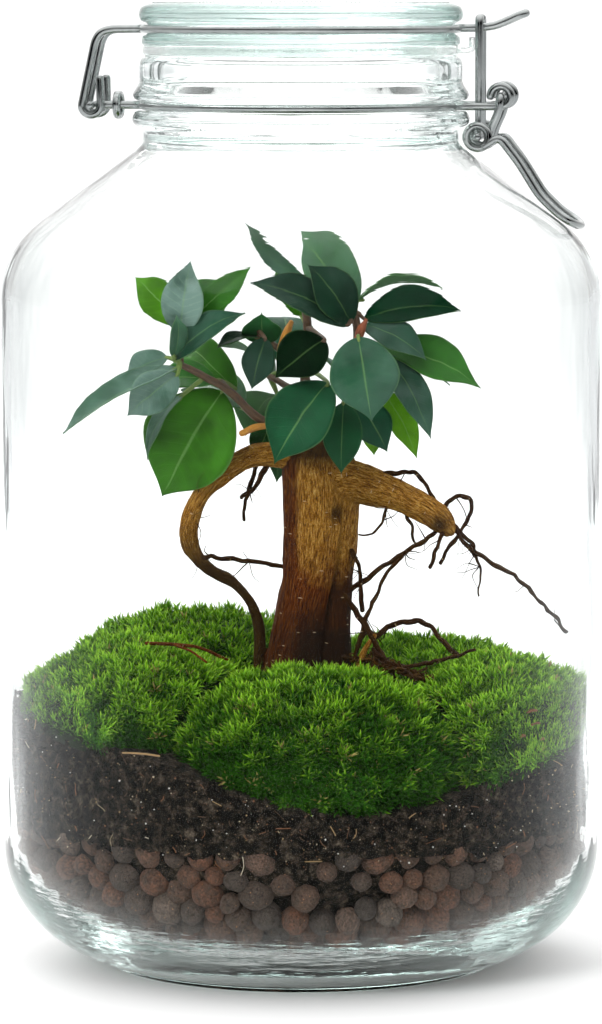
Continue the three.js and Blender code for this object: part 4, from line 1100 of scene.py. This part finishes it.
def blade(roots, axis, tall, sway, whorl, draw):
    """The four corners of one blade on every shoot: foot, two sides and tip"""
    height, tilt, reach = whorl
    count = len(roots)
    lean = tilt * draw.uniform(0.75, 1.2, count)
    way = np.cos(lean)[:, None] * axis + np.sin(lean)[:, None] * sway
    curl = unit(way + 0.3 * sway)
    length = tall * reach * draw.uniform(0.8, 1.15, count)
    side = unit(np.cross(way, axis + 0.01)) * (0.20 + 0.02 * tall)[:, None]
    foot = roots + axis * (tall * height * 0.55)[:, None]
    middle = foot + way * (length * 0.5)[:, None]
    tip = middle + curl * (length * 0.5)[:, None]
    return [foot, middle - side, middle + side, tip]


# The whorls of a shoot: how high they stand on it, how far their blades lean and how long those are
WHORLS = ((0.15, 1.05, 0.62), (0.5, 0.8, 0.72), (0.85, 0.38, 0.66))
BLADES_A_WHORL = 3


def moss_form(name, seed):
    """A mound under shoots of moss, whose blades get brighter from foot to tip; shoots facing down, and
    those in the hollows between clumps, get a darker tone as painted shade; a few are dead straw
    """
    straw_share = 0.012
    draw = np.random.default_rng(seed)
    place = CUSHIONS[name]
    form = Form()
    add_mound(form, name)
    roots, outward, clumps = moss_spots(name, place["shoots"], draw)
    count = len(roots)
    axis = unit(outward + np.array([0, 0, 0.35]) + draw.normal(0, 0.22, outward.shape))
    across = unit(np.cross(axis, draw.normal(size=axis.shape)))
    other = np.cross(axis, across)
    tall = draw.uniform(3.0, 5.8, count) * (1 + 0.25 * clumps)
    # Painted shade: shoots that face sideways and down get a darker tone
    shade = 0.75 * (1 - np.clip(outward[:, 2], 0, 1))
    # Shoots on clumps that stand out get a brighter tone and those in the hollows a darker one: patchy
    # growth, with painted shade in the hollows
    tone = np.clip(place["tone"] + 0.25 - shade + 0.8 * clumps + draw.normal(0, 0.2, count), 0.02, 0.94)
    tone = np.where(draw.uniform(size=count) < straw_share, 1.0, tone)
    points, faces, shares = [], [], []
    for step, whorl in enumerate(WHORLS):
        low = 0.45 * whorl[0]
        for k in range(BLADES_A_WHORL):
            angle = FULL_TURN * (k + step / 3) / BLADES_A_WHORL + draw.uniform(-0.5, 0.5, count)
            sway = np.cos(angle)[:, None] * across + np.sin(angle)[:, None] * other
            at = len(points)
            points += blade(roots, axis, tall, sway, whorl, draw)
            shares += [low, low + 0.3, low + 0.3, whorl[0] * 0.3 + 0.75]
            faces += [(at, at + 2, at + 1), (at + 1, at + 2, at + 3)]
    corners = len(points)
    spots = np.stack(points, axis=1).reshape(-1, 3)
    limit_radius(spots, GLASS_INSIDE - 0.45)
    all_faces = [tuple(corner + corners * shoot for corner in face)
                 for shoot in range(count) for face in faces]
    form.add(spots, all_faces, share=np.tile(np.clip(shares, 0, 1), count), tone=np.repeat(tone, corners))
    return form


def make_moss(material):
    for seed, name in enumerate(CUSHIONS):
        plant_piece(name + "_tufts", moss_form(name, 60 + seed), material, name)


# The ficus

TRUNK_LIMBS = [
    [(-3, -1, 66, 8), (-2.2, -3, 88, 8.6), (0.4, -3, 106, 8.4), (3.2, -2.5, 124, 8.8), (4.4, -1, 142, 9.6),
     (4, 0, 153, 9.2), (6, 0, 161, 6.6), (6.5, 0, 166, 4)],
    [(10, 0, 66, 5.4), (9.6, -1.5, 88, 5.4), (10.4, -1, 106, 5.6), (10.4, 0.6, 124, 6.4), (10, 1, 142, 8),
     (12, -1, 151, 5)],
]
THICK_ROOTS = [
    [(5, 0, 146, 8.4), (15, -2, 147.3, 6.4), (22.6, -4, 145.5, 5.6), (30, -6, 143, 4.9),
     (38, -8, 139.0, 4.1), (42.4, -9, 135.8, 4), (44.8, -10, 133.2, 2.8)],
    [(2, 0, 152, 4.6), (-5, -2, 155, 4), (-13, -4, 155, 3.4), (-19, -6, 153, 3.2), (-25, -8, 149.2, 3),
     (-30, -9, 144, 3), (-33, -9, 138, 3), (-34, -8, 131.5, 2.9), (-32.3, -7, 125.5, 2.7),
     (-27.5, -6, 120.8, 2.0), (-21, -4, 117, 1.8), (-16.2, -2, 112, 1.7), (-13.6, 0, 105.7, 1.7),
     (-12.4, 1, 97, 1.8), (-12.4, 1, 80, 1.8)],
]
THIN_ROOTS = [
    [(-32, -8, 125.5, 1), (-27, -8, 124.8, 0.9), (-16, -5, 123.6, 0.9), (-2, -1, 121, 0.8)],
    [(43, -9, 138.5, 1), (46.8, -11, 143, 0.9), (50.4, -12, 143, 0.9), (52, -11, 139.6, 0.9),
     (49.8, -10, 134.4, 0.8), (42, -11, 123.4, 0.7)],
    [(45, -10, 136, 1), (53, -14, 126.4, 0.9), (67.3, -17, 117.5, 0.8), (76.4, -18, 107, 0.7),
     (79.7, -18, 103, 0.7)],
    [(44, -9, 136, 1), (37.8, -8, 129.7, 0.9), (21.7, -4, 119, 1), (13, -2, 111.5, 1)],
    [(32, -6.4, 126, 0.8), (25.6, -8, 118.3, 0.8), (20, -10, 106, 0.8), (17, -9, 94, 0.8)],
    [(13, -4, 113.6, 1.1), (20.4, -11, 103, 1.1), (24.6, -14, 95, 1), (30, -17, 86, 1)],
    [(20.6, -11.2, 102, 1.1), (23, -10, 100.6, 1.1), (26.5, -9, 103, 1), (31.7, -10, 105, 1),
     (37.7, -12, 104.8, 1), (44.4, -14, 98.6, 1), (52, -16, 90, 0.9)],
    [(25, -5, 149.5, 1), (31.7, -5, 150.4, 0.9), (36.9, -6, 148.4, 0.8), (41, -8.4, 140, 0.8)],
    [(-13, -3, 154, 1), (-15.6, -1, 144.5, 0.8), (-17.4, 0, 135, 0.7)],
    [(-9, -3, 154, 1.1), (-14, -4, 145.6, 1), (-18.4, -6, 142.4, 0.9)],
    [(45, -10, 135, 0.9), (42, -13, 130, 0.7), (39.6, -15, 122, 0.7)],
    [(15.6, -4, 126.4, 0.8), (18, -5, 120, 0.7), (18.8, -5, 108, 0.7)],
    [(22, -14, 97, 0.9), (28, -16, 93, 0.9), (36, -20, 93.5, 0.8), (44, -25, 96, 0.8),
     (52, -28, 98.6, 0.6)],
    [(26, -17, 94, 0.6), (31, -22, 92, 0.6), (36, -29, 90, 0.5)],
    [(25.6, -7, 139.5, 0.6), (24.6, -8, 136.0, 0.5), (21.9, -9, 132.2, 0.45), (17.7, -9, 131.7, 0.35)],
    [(31.6, -7, 139.0, 0.7), (33.2, -8, 133.6, 0.6), (34.6, -8, 128.7, 0.5)],
    [(45, -10, 134.2, 0.9), (48.6, -11, 132.4, 0.8), (52.0, -12, 129.4, 0.75), (52.9, -12, 125.2, 0.7)],
    [(52.6, -12, 127.5, 0.45), (53.8, -12, 122.1, 0.45), (53.4, -12, 113.5, 0.35)],
]
# Pale young roots: a stub behind the trunk's foot and a reddish runner on the moss at the left
YOUNG_ROOTS = [
    [(22.5, -12, 101, 0.8), (19.5, -12.5, 97, 0.9), (17.6, -13, 92, 0.8)],
    [(-46, -46, 103, 0.5), (-38, -44, 102.4, 0.55), (-30, -40, 100.8, 0.5), (-22, -36, 96.6, 0.45)],
    [(-38, -44, 102.4, 0.45), (-33, -48, 101.0, 0.4), (-28, -51, 98.0, 0.35)],
]

# Dead bits of root that lie from the trunk's foot over the moss
DEBRIS = [(17, -12, 93.5), (23, -14, 93.5), (29, -19, 92), (35, -24, 91), (41, -28, 88.5)]
TRUNK_SCAR = np.array([11.0, -7.5, 138.0])
KNOB_SCAR = np.array([42.0, -12.5, 134.5])


def remeshed(form, voxel):
    """One skin round tubes that run into each other"""
    mesh = bpy.data.meshes.new("rough_limbs")
    mesh.from_pydata(np.concatenate(form.points).tolist(), [], form.faces)
    helper = bpy.data.objects.new("rough_limbs", mesh)
    bpy.context.scene.collection.objects.link(helper)
    remesh = helper.modifiers.new("skin", "REMESH")
    remesh.mode = "VOXEL"
    remesh.voxel_size = voxel
    soften = helper.modifiers.new("soften", "SMOOTH")
    soften.factor = 0.5
    soften.iterations = 4
    depsgraph = bpy.context.evaluated_depsgraph_get()
    result = bpy.data.meshes.new_from_object(helper.evaluated_get(depsgraph))
    points = np.empty(len(result.vertices) * 3)
    result.vertices.foreach_get("co", points)
    normals = np.empty(len(result.vertices) * 3)
    result.vertices.foreach_get("normal", normals)
    faces = [tuple(face.vertices) for face in result.polygons]
    bpy.data.objects.remove(helper)
    bpy.data.meshes.remove(mesh)
    bpy.data.meshes.remove(result)
    return points.reshape(-1, 3), normals.reshape(-1, 3), faces


def limb_places(points, limbs):
    """For each point: the length along its nearest limb, the turn round it, the limb's radius, the limb
    and how near the point is to a second limb, from 0 to 1 in the crease between the two"""
    best = np.full(len(points), np.inf)
    second = np.full(len(points), np.inf)
    owner = np.zeros(len(points))
    length, turn, wide = np.zeros(len(points)), np.zeros(len(points)), np.zeros(len(points))
    start_length = 0.0
    for index, stations in enumerate(limbs):
        route = smooth(stations, 6)
        places, radii = route[:, :3], route[:, 3]
        tangents, normals, binormals = frames_along(places)
        lengths = lengths_along(places)
        offsets = points[:, None, :] - places[None, :, :]
        distances = np.linalg.norm(offsets, axis=2)
        nearest = (distances / radii[None, :]).argmin(axis=1)
        rows = np.arange(len(points))
        score = distances[rows, nearest] / radii[nearest]
        offset = offsets[rows, nearest]
        beyond = (offset * tangents[nearest]).sum(axis=1)
        closer = score < best
        second = np.where(closer, best, np.minimum(second, score))
        best = np.where(closer, score, best)
        owner = np.where(closer, index, owner)
        length = np.where(closer, start_length + lengths[nearest] + beyond, length)
        upward = (offset * binormals[nearest]).sum(axis=1)
        sideways = (offset * normals[nearest]).sum(axis=1)
        angle = np.arctan2(upward, sideways)
        turn = np.where(closer, angle, turn)
        wide = np.where(closer, radii[nearest], wide)
        start_length += 300
    crease = np.clip(1 - (second - best) / 0.22, 0, 1)
    return length, turn, wide, owner, crease


def below(height, level, depth):
    """0 above a level, and 1 from a depth below it"""
    return np.clip((level - height) / depth, 0, 1)


def limb_shades(points, height, owner):
    """How russet the bark is, how dark at the crown, and how dark low down, where the darkness of the right
    lobe is painted shade
    """
    is_trunk = owner < len(TRUNK_LIMBS)
    left_lobe = np.array(TRUNK_LIMBS[0])
    aside = points[:, 0] - np.interp(height, left_lobe[:, 2], left_lobe[:, 0])
    left_edge = np.clip((-4 - aside) / 2.5, 0, 1) * is_trunk
    lowness = np.where(is_trunk, below(height, 134, 23) + 0.9 * left_edge, 0.1)
    crown = np.clip((height - 148) / 8, 0, 1) * is_trunk
    foot = below(height, 115, 14) * (0.55 + 0.45 * np.clip((aside + 4) / 5, 0, 1)) * is_trunk
    # Painted shade: the right lobe, which stands away from the light, is darker low down
    right_lobe = 0.78 * below(height, 126, 12) * (owner == 1)
    arch = 0.9 * below(height, 136, 14) * (owner == len(TRUNK_LIMBS) + 1)
    return lowness, crown, np.max([0.95 * foot, right_lobe, arch, 0.3 * left_edge], axis=0)


def near(points, place, spread):
    """1 at a place, and less the further a point is from it"""
    return np.exp(-((points - place) ** 2).sum(axis=1) / spread)


def make_trunk(material):
    """One skin over the trunk, the thick arm and the arched root, with lumps, fissures and scars, and
    painted shade in the crease between the two trunk lobes and on the lower right lobe
    """
    limbs = (*TRUNK_LIMBS, *THICK_ROOTS)
    skeleton = Form()
    for stations in limbs:
        limb(skeleton, stations, 6, 20)
    points, normals, faces = remeshed(skeleton, 0.8)
    length, turn, wide, owner, crease = limb_places(points, limbs)
    around = np.column_stack([np.cos(turn) * wide, np.sin(turn) * wide])
    lumps = rough(np.column_stack([around, length * 0.3]), 4.2, 7.0)
    fissures = rough(np.column_stack([around, length * 0.14]), 1.5, 1.0)
    height = points[:, 2]
    is_trunk = owner < len(TRUNK_LIMBS)
    # Painted shade: the crease between the two trunk lobes is dented and painted darker
    gap = crease * below(height, 124, 10) * is_trunk
    scar = near(points, TRUNK_SCAR, 7) * is_trunk
    knob = near(points, KNOB_SCAR, 13)
    points = points + normals * (0.5 * lumps + 0.6 * fissures - 1.3 * gap - 1.2 * scar)[:, None]
    lowness, crown, shade = limb_shades(points, height, owner)
    form = Form()
    form.add(points, faces, length=length, turn=turn, wide=wide, lowness=lowness, crown=crown,
             darkness=np.max([shade, gap, 0.9 * scar, 0.95 * knob], axis=0))
    plant_piece("ficus_bark", form, material, "ficus_trunk")


def add_thin_root(form, stations, seed):
    """A thin root with a little wobble in its route and its thickness"""
    route = smooth(stations, 8)
    wobble = np.column_stack([rough(route[:, :3], 3.0, seed + axis) for axis in range(3)])
    places = route[:, :3] + 0.8 * wobble
    radii = 0.82 * route[:, 3] * (1 + 0.22 * rough(places, 1.3, 5.0))
    tube(form, places, radii, 9, wide=0.9, lowness=0.6, darkness=0.85)


def add_root_hair(form, draw):
    """A short hair that grows from one of the roots"""
    carriers = [*THICK_ROOTS, *THIN_ROOTS]
    stations = np.array(carriers[draw.integers(len(carriers))], float)
    station = stations[draw.integers(len(stations) - 1)]
    start = station[:3]
    way = unit(draw.normal(size=3) + np.array([0, 0, -0.8]))
    length = draw.uniform(2.5, 11)
    bend = draw.normal(0, 0.35, 3)
    reach = station[3] * 0.8
    route = [start + way * reach, start + way * (reach + length * 0.5) + bend * length * 0.2,
             start + unit(way + bend) * (reach + length)]
    thick = draw.uniform(0.10, 0.24)
    radii = np.linspace(thick, thick * 0.45, 9)
    tube(form, smooth(route, 4), radii, 5, wide=thick, lowness=0.6, darkness=0.9)


def add_debris(form, draw):
    """A dead bit of root on the moss"""
    share = draw.uniform(0, 1)
    heap = np.array(DEBRIS)
    places = np.linspace(0, 1, len(heap))
    centre = np.array([np.interp(share, places, heap[:, axis]) for axis in range(3)])
    centre = centre + draw.normal(0, (1.5, 2.0, 0.7))
    way = unit(draw.normal(size=3) * (1, 1, 0.45)) * draw.uniform(0.8, 2.6)
    bow = draw.normal(0, 0.4, 3)
    thick = draw.uniform(0.2, 0.55)
    route = smooth([centre - way, centre + bow, centre + way], 2)
    tube(form, route, np.linspace(thick, thick * 0.5, 5), 5, wide=thick,
         lowness=draw.uniform(0, 0.6), darkness=draw.uniform(0.55, 0.95))


def make_roots(material):
    hairs, dead_bits = 90, 150
    draw = np.random.default_rng(83)
    form = Form()
    for index, stations in enumerate(THIN_ROOTS):
        add_thin_root(form, stations, 11.0 + index)
    for stations, redness in zip(YOUNG_ROOTS, (0.0, 1.0, 1.0)):
        limb(form, stations, 8, 8, wide=0.7, lowness=redness)
    for _ in range(hairs):
        add_root_hair(form, draw)
    for _ in range(dead_bits):
        add_debris(form, draw)
    plant_piece("aerial_roots", form, material, "ficus_trunk")


TOWARD_FRONT = (0, -1, 0.3)
UPWARD = (0, -0.35, 1)
HALF_UP = (0, -0.8, 0.7)

# Each leaf: base, tip, width, the way its upper side faces, tone, and where they differ from what
# add_leaf takes by itself, painted sheen (a painted grey reflection), arch and fold
LEAFY_STEMS = {
    "left": {
        "twigs": [
            [(3, -6, 158, 2), (-8, -10, 165, 1.5), (-14, -12, 168, 1.4), (-22, -15, 176, 1.3),
             (-29, -17, 180, 1.2), (-36, -19, 184, 1)],
            [(-36, -19, 184, 1), (-36, -20, 195, 1)],
            [(-22, -15, 176, 1.2), (-24, -8, 178, 1)],
        ],
        "buds": [(1.0, [(-18, -14, 163, 1.0), (-14.5, -14.5, 164.6, 1.2), (-11, -13, 165, 1.0)])],
        "leaves": [
            ((-37, -20, 183), (-71, -27, 164.5), 12, (-0.3, -0.5, 1), 0.33, 0.6, 0.05, 0.5),
            ((-37, -21, 181), (-52, -24, 169), 13, TOWARD_FRONT, 0.3, 0.75),
            ((-40, -17, 186), (-53, -12, 179), 10, HALF_UP, 0.3, 0.6),
            ((-36, -22, 194), (-33, -26, 215), 13, (-0.2, -1, 0), 0.25, 1.0, 0.12, 0.3),
            ((-36, -16, 196), (-50, -12, 210), 11, TOWARD_FRONT, 0.85, 0.05),
            ((-38, -22, 186), (-17, -30, 201), 11, HALF_UP, 0.25, 0.15),
            ((-38, -25, 187), (-37, -29, 200), 6, (0.6, -1, 0), 0.4, 0.3),
            ((-35, -14, 196), (-22, -10, 209), 13, TOWARD_FRONT, 0.6),
            ((-35, -19, 197), (-15, -17, 213), 8, (0.5, -1, 0.4), 0.65, 0.0, 0.12, 0.5),
            ((-24, -8, 175), (-42, -5, 143), 29.5, (-0.2, -1, 0.2), 0.73, 0.0, 0.12, 0.15),
            ((-36, -12, 174), (-47, -11, 155), 7, (-1, -0.6, 0.2), 0.4, 0.5),
            ((-26, -9, 178), (-45, 4, 176), 12, HALF_UP, 0.6),
            ((-20, -10, 176), (-36, 10, 188), 13, TOWARD_FRONT, 0.7),
            ((-18, -9, 170), (-36, 18, 172), 17, UPWARD, 0.5),
        ],
    },
    "middle": {
        "twigs": [
            [(4, 5, 158, 2), (2, 6, 170, 1.8), (1, 5, 182, 1.6), (2, 2, 194, 1.4), (1, 1, 204, 1.2)],
            [(1, 5, 182, 1.3), (-10, -2, 190, 1.1), (-14, -8, 194, 1)],
            [(2, 6, 172, 1.3), (-10, 14, 178, 1.1)],
        ],
        "buds": [(1.0, [(-6.5, -16, 188, 0.9), (-4.6, -16.5, 193, 1.4), (-3, -15, 197, 0.8)])],
        "leaves": [
            ((4, 0, 205), (-17, -4, 222), 4.8, TOWARD_FRONT, 0.4, 0.3, -0.14, 0.25),
            ((0, 8, 198), (-7, 12, 213), 9, TOWARD_FRONT, 0.75),
            ((7, -22, 192), (-8, -30, 181), 15, TOWARD_FRONT, 0.02),
            ((8, -24, 179), (-8, -31, 155), 20.5, (-0.3, -1, 0.2), 0.33),
            ((-11, -19, 192), (-15, -24, 177), 10, TOWARD_FRONT, 0.1, 0.1),
            ((-13, -12, 192), (-25, -17, 189), 7, UPWARD, 0.05),
            ((-12, -9, 190), (-12, -14, 200), 12, (0, -1, -0.3), 0.45),
            ((-9, 8, 165), (-14, 6, 153), 9, TOWARD_FRONT, 0.5),
            ((-6, 16, 162), (-7, 12, 145), 8, TOWARD_FRONT, 0.5, 0.1),
            ((-10, 14, 178), (-26, 34, 186), 15, (-0.3, 0.8, 0.8), 0.4),
            ((-4, 14, 180), (-6, 40, 196), 17, (0, 0.6, 1), 0.3),
            ((-8, 15, 172), (-18, 36, 158), 17, (-0.2, 1, 0.5), 0.6),
        ],
    },
    "right": {
        "twigs": [
            [(10, -3, 156, 2), (13, -5, 168, 1.7), (16, -9, 180, 1.6), (17, -12, 192, 1.5),
             (16, -12, 200, 1.2)],
            [(17, -11, 190, 1.2), (24, -9, 189, 1)],
            [(13, -5, 168, 1.3), (16, -8, 173, 1)],
            [(13, -5, 168, 1.3), (18, 8, 176, 1)],
        ],
        "buds": [(0.7, [(17, -19, 192, 1.3), (18, -21, 195, 1.5), (19.5, -22, 198, 0.6)])],
        "leaves": [
            ((16, -8, 201), (0, -3, 219.6), 17, (0.2, -1, 0.5), 0.55, 0.3, 0.1, 0.3),
            ((15, -15, 197), (2, -21, 214), 14, (0.3, -1, 0.4), 0.1, 0.1),
            ((14, -17, 196), (-15, -24, 209), 13, HALF_UP, 0.08, 0.12),
            ((17, -7, 203), (43, 4, 206), 8, (0.1, 0.3, 1), 0.55, 0.0, 0.12, 0.5),
            ((19, -12, 198), (48, -16, 201), 13, HALF_UP, 0.1),
            ((19, -15, 196), (38, -24, 186), 11, HALF_UP, 0.2, 0.22),
            ((25, -9, 189), (54, -14, 177), 14.5, (0.2, -0.8, 0.6), 0.62),
            ((17, -26, 193), (21, -34, 168), 21, (0, -1, 0.2), 0.32, 0.2, 0.08, 0.25),
            ((25, -14, 187), (39, -20, 162), 11, (0.5, -1, 0.2), 0.25, 0.25),
            ((24, -9, 176), (35, -11, 155), 9, (0.4, -1, 0.2), 0.95),
            ((17, -10, 173), (26, -15, 157), 12, TOWARD_FRONT, 0.3, 0.05),
            ((13, -14, 172), (12, -20, 151), 12, TOWARD_FRONT, 0.35),
            ((21, -4, 168), (22, -5, 155), 6, TOWARD_FRONT, 0.95),
            ((18, 8, 176), (34, 30, 184), 16, (0.4, 0.8, 0.8), 0.4),
            ((16, 10, 172), (24, 32, 160), 17, (0.3, 1, 0.4), 0.5),
            ((16, 8, 178), (12, 34, 178), 16, (0, 0.7, 1), 0.3),
            ((20, 4, 178), (46, 12, 176), 15, (0.7, 0.2, 1), 0.4),
        ],
    },
}


def leaf_width(share):
    """Half width of a blade along its length, 1 at its widest"""
    return np.sin(math.pi * np.clip(share, 0, 1)) ** (0.56 + 0.8 * share ** 2)


def blade_faces(steps, columns):
    """Faces of the upper side, the under side and the rim between them"""
    row = columns + 1
    count = (steps + 1) * row
    faces = []
    for i in range(steps):
        for k in range(columns):
            a, b = i * row + k, i * row + k + 1
            faces.append((a, b, b + row, a + row))
            faces.append((count + a, count + a + row, count + b + row, count + b))
        for k in (0, columns):
            a = i * row + k
            rim = (a, a + row, count + a + row, count + a)
            faces.append(rim if k == 0 else tuple(reversed(rim)))
    return faces


def add_leaf(form, draw, base, tip, width, face, tone, bloom=0.0, arch=0.12, fold=0.25):
    """A blade from base to tip, arched along its length, folded at its midrib and wavy at its edges"""
    steps, columns, thick = 28, 12, 0.32
    along = tip - base
    length = np.linalg.norm(along)
    across = unit(np.cross(along, np.array(face, float)))
    up = unit(np.cross(across, along))
    shares = 0.5 - 0.5 * np.cos(np.linspace(0, math.pi, steps + 1))
    sides = np.linspace(-1, 1, columns + 1)
    share, side = (grid.ravel() for grid in np.meshgrid(shares, sides, indexing="ij"))
    half = 0.5 * width * leaf_width(share) * side
    soft = 0.06 * width
    rise = arch * length * 4 * share * (1 - share) + fold * (np.sqrt(half ** 2 + soft ** 2) - soft)
    phase = draw.uniform(0, FULL_TURN, 2)
    swing = np.where(side > 0, np.sin(9 * share + phase[0]), np.sin(8 * share + phase[1]))
    ripple = 0.045 * width * side ** 2 * swing * np.sin(math.pi * share)
    droop = 0.35 * length * np.clip(share - 0.8, 0, 1) ** 2
    rise = rise + ripple - droop
    middle = base + share[:, None] * along + half[:, None] * across + rise[:, None] * up
    rib = 0.05 * np.exp(-(side * 9) ** 2)
    top = middle + up * (thick / 2 - rib)[:, None]
    under = middle - up * (thick / 2 + 3 * rib)[:, None]
    # How much painted grey sheen, a painted reflection, goes into the leaf's colour is kept as a value
    form.add(np.vstack([top, under]), blade_faces(steps, columns), share=np.tile(share, 2),
             across=np.tile(side, 2), under=np.repeat([0.0, 1.0], len(middle)), tone=tone, bloom=bloom)


def add_stalk(form, spots, base, tip, tone):
    """The stalk of a leaf, from the nearest station of the twigs into the blade"""
    spot = spots[np.linalg.norm(spots - base, axis=1).argmin()]
    middle = (spot + base) / 2 + np.array([0, 0, 0.4])
    sunk = base + (tip - base) * 0.07
    tube(form, smooth([spot, middle, base, sunk], 5), np.linspace(0.85, 0.5, 16), 8, wide=0.7,
         tone=0.4 if tone > 0.1 else 0.1)


def make_leaves(leaf_look, twig_look):
    for seed, (name, stem) in enumerate(LEAFY_STEMS.items()):
        draw = np.random.default_rng(110 + seed)
        blades, twigs = Form(), Form()
        spots = np.array([station[:3] for stations in stem["twigs"] for station in stations], float)
        for stations in stem["twigs"]:
            route = smooth(stations, 6) if len(stations) > 2 else np.array(stations, float)
            tube(twigs, route[:, :3], route[:, 3] * 0.95, 10, wide=1.0)
        for tone, stations in stem["buds"]:
            limb(twigs, stations, 5, 10, wide=1.0, tone=tone)
        for base, tip, width, face, tone, *rest in stem["leaves"]:
            base, tip = np.array(base, float), np.array(tip, float)
            add_leaf(blades, draw, base, tip, width, face, tone, *rest)
            add_stalk(twigs, spots, base, tip, tone)
        plant_piece("leaves_" + name, blades, leaf_look, "leafy_stem_" + name)
        plant_piece("twigs_" + name, twigs, twig_look, "leafy_stem_" + name)


# Light, floor and camera

def make_floor():
    mesh = bpy.data.meshes.new("floor")
    reach = 60.0
    mesh.from_pydata([(-reach, -reach, 0), (reach, -reach, 0), (reach, reach, 0), (-reach, reach, 0)], [],
                     [(0, 1, 2, 3)])
    mesh.materials.append(floor_material())
    floor = bpy.data.objects.new("floor", mesh)
    bpy.context.scene.collection.objects.link(floor)


def make_world():
    """A pale room: bright overhead and behind the jar, dimmer in front and dim at its two sides"""
    world = bpy.data.worlds.new("room")
    world.use_nodes = True
    tree = world.node_tree

    def between(value, low, high, first, last):
        ramp = tree.nodes.new("ShaderNodeMapRange")
        for name, number in (("From Min", low), ("From Max", high), ("To Min", first), ("To Max", last)):
            ramp.inputs[name].default_value = number
        tree.links.new(value, ramp.inputs["Value"])
        return ramp.outputs[0]

    def combined(operation, first, second=None):
        node = tree.nodes.new("ShaderNodeMath")
        node.operation = operation
        tree.links.new(first, node.inputs[0])
        if second:
            tree.links.new(second, node.inputs[1])
        return node.outputs[0]

    turned = tree.nodes.new("ShaderNodeMapping")
    turned.inputs["Rotation"].default_value = (0, 0, -PLANTING_TURN)
    split = tree.nodes.new("ShaderNodeSeparateXYZ")
    tree.links.new(tree.nodes.new("ShaderNodeTexCoord").outputs["Generated"], turned.inputs["Vector"])
    tree.links.new(turned.outputs[0], split.inputs[0])
    depth, height = split.outputs["Y"], split.outputs["Z"]
    aside = combined("ABSOLUTE", split.outputs["X"])
    bright = combined("ADD", between(depth, -0.9, 0.7, 0.3, 1.3), between(height, 0.2, 1.0, 0.0, 0.92))
    dim = combined("MULTIPLY", between(aside, 0.12, 0.4, 0.0, 0.62), between(height, 0.35, 0.75, 1.0, 0.0))
    background = tree.nodes["Background"]
    tree.links.new(combined("SUBTRACT", bright, dim), background.inputs["Strength"])
    background.inputs["Color"].default_value = (1, 1, 1, 1)
    bpy.context.scene.world = world


def make_lamp(name, place, size, power):
    """A soft round lamp that shines on the middle of the jar and doesn't show itself"""
    target = Vector((0, 0, 0.13))
    lamp = bpy.data.lights.new(name, "AREA")
    lamp.shape = "DISK"
    lamp.size = size
    lamp.energy = power
    holder = bpy.data.objects.new(name, lamp)
    holder.location = place
    holder.rotation_euler = (target - Vector(place)).to_track_quat("-Z", "Y").to_euler()
    holder.visible_camera = False
    holder.visible_glossy = False
    bpy.context.scene.collection.objects.link(holder)


def make_camera():
    """The photo's view: a long lens a little above the lid, turned a little to the jar's right"""
    azimuth = math.radians(6)
    distance = 1.5759
    height = 0.2992
    pitch = 5.86
    camera = bpy.data.cameras.new("camera")
    camera.lens = 182
    camera.sensor_width = 36
    camera.sensor_fit = "AUTO"
    camera.clip_end = 200
    holder = bpy.data.objects.new("camera", camera)
    holder.location = (math.sin(azimuth) * distance, -math.cos(azimuth) * distance, height)
    holder.rotation_euler = (math.radians(90 - pitch), 0, azimuth)
    bpy.context.scene.collection.objects.link(holder)
    bpy.context.scene.camera = holder


def set_light_paths():
    scene = bpy.context.scene
    scene.view_settings.view_transform = "Standard"
    scene.cycles.caustics_refractive = False
    scene.cycles.caustics_reflective = False
    for kind in ("max_bounces", "transmission_bounces", "glossy_bounces", "transparent_max_bounces"):
        setattr(scene.cycles, kind, GLASS_BOUNCES)


def build():
    make_camera()
    make_floor()
    make_world()
    make_lamp("key", (-0.9, -1.5, 1.3), 0.8, 21)
    make_lamp("fill", (1.2, -1.2, 0.8), 0.9, 6)
    make_lamp("back", (-0.7, 1.5, 1.2), 0.9, 10)
    glass = glass_material()
    make_glass(glass)
    make_studs(glass)
    make_gasket(silicone_material())
    steel = steel_material()
    for make_wire in (make_neck_wire, make_hinge_band, make_lid_wire, make_lever, make_link):
        make_wire(steel)
    make_pebbles(clay_material())
    soil = soil_material()
    make_pebble_soil(soil)
    make_soil(soil, litter_material())
    make_moss(moss_material())
    bark = bark_material()
    make_trunk(bark)
    make_roots(bark)
    make_leaves(leaf_material(), twig_material())
    set_light_paths()


build()
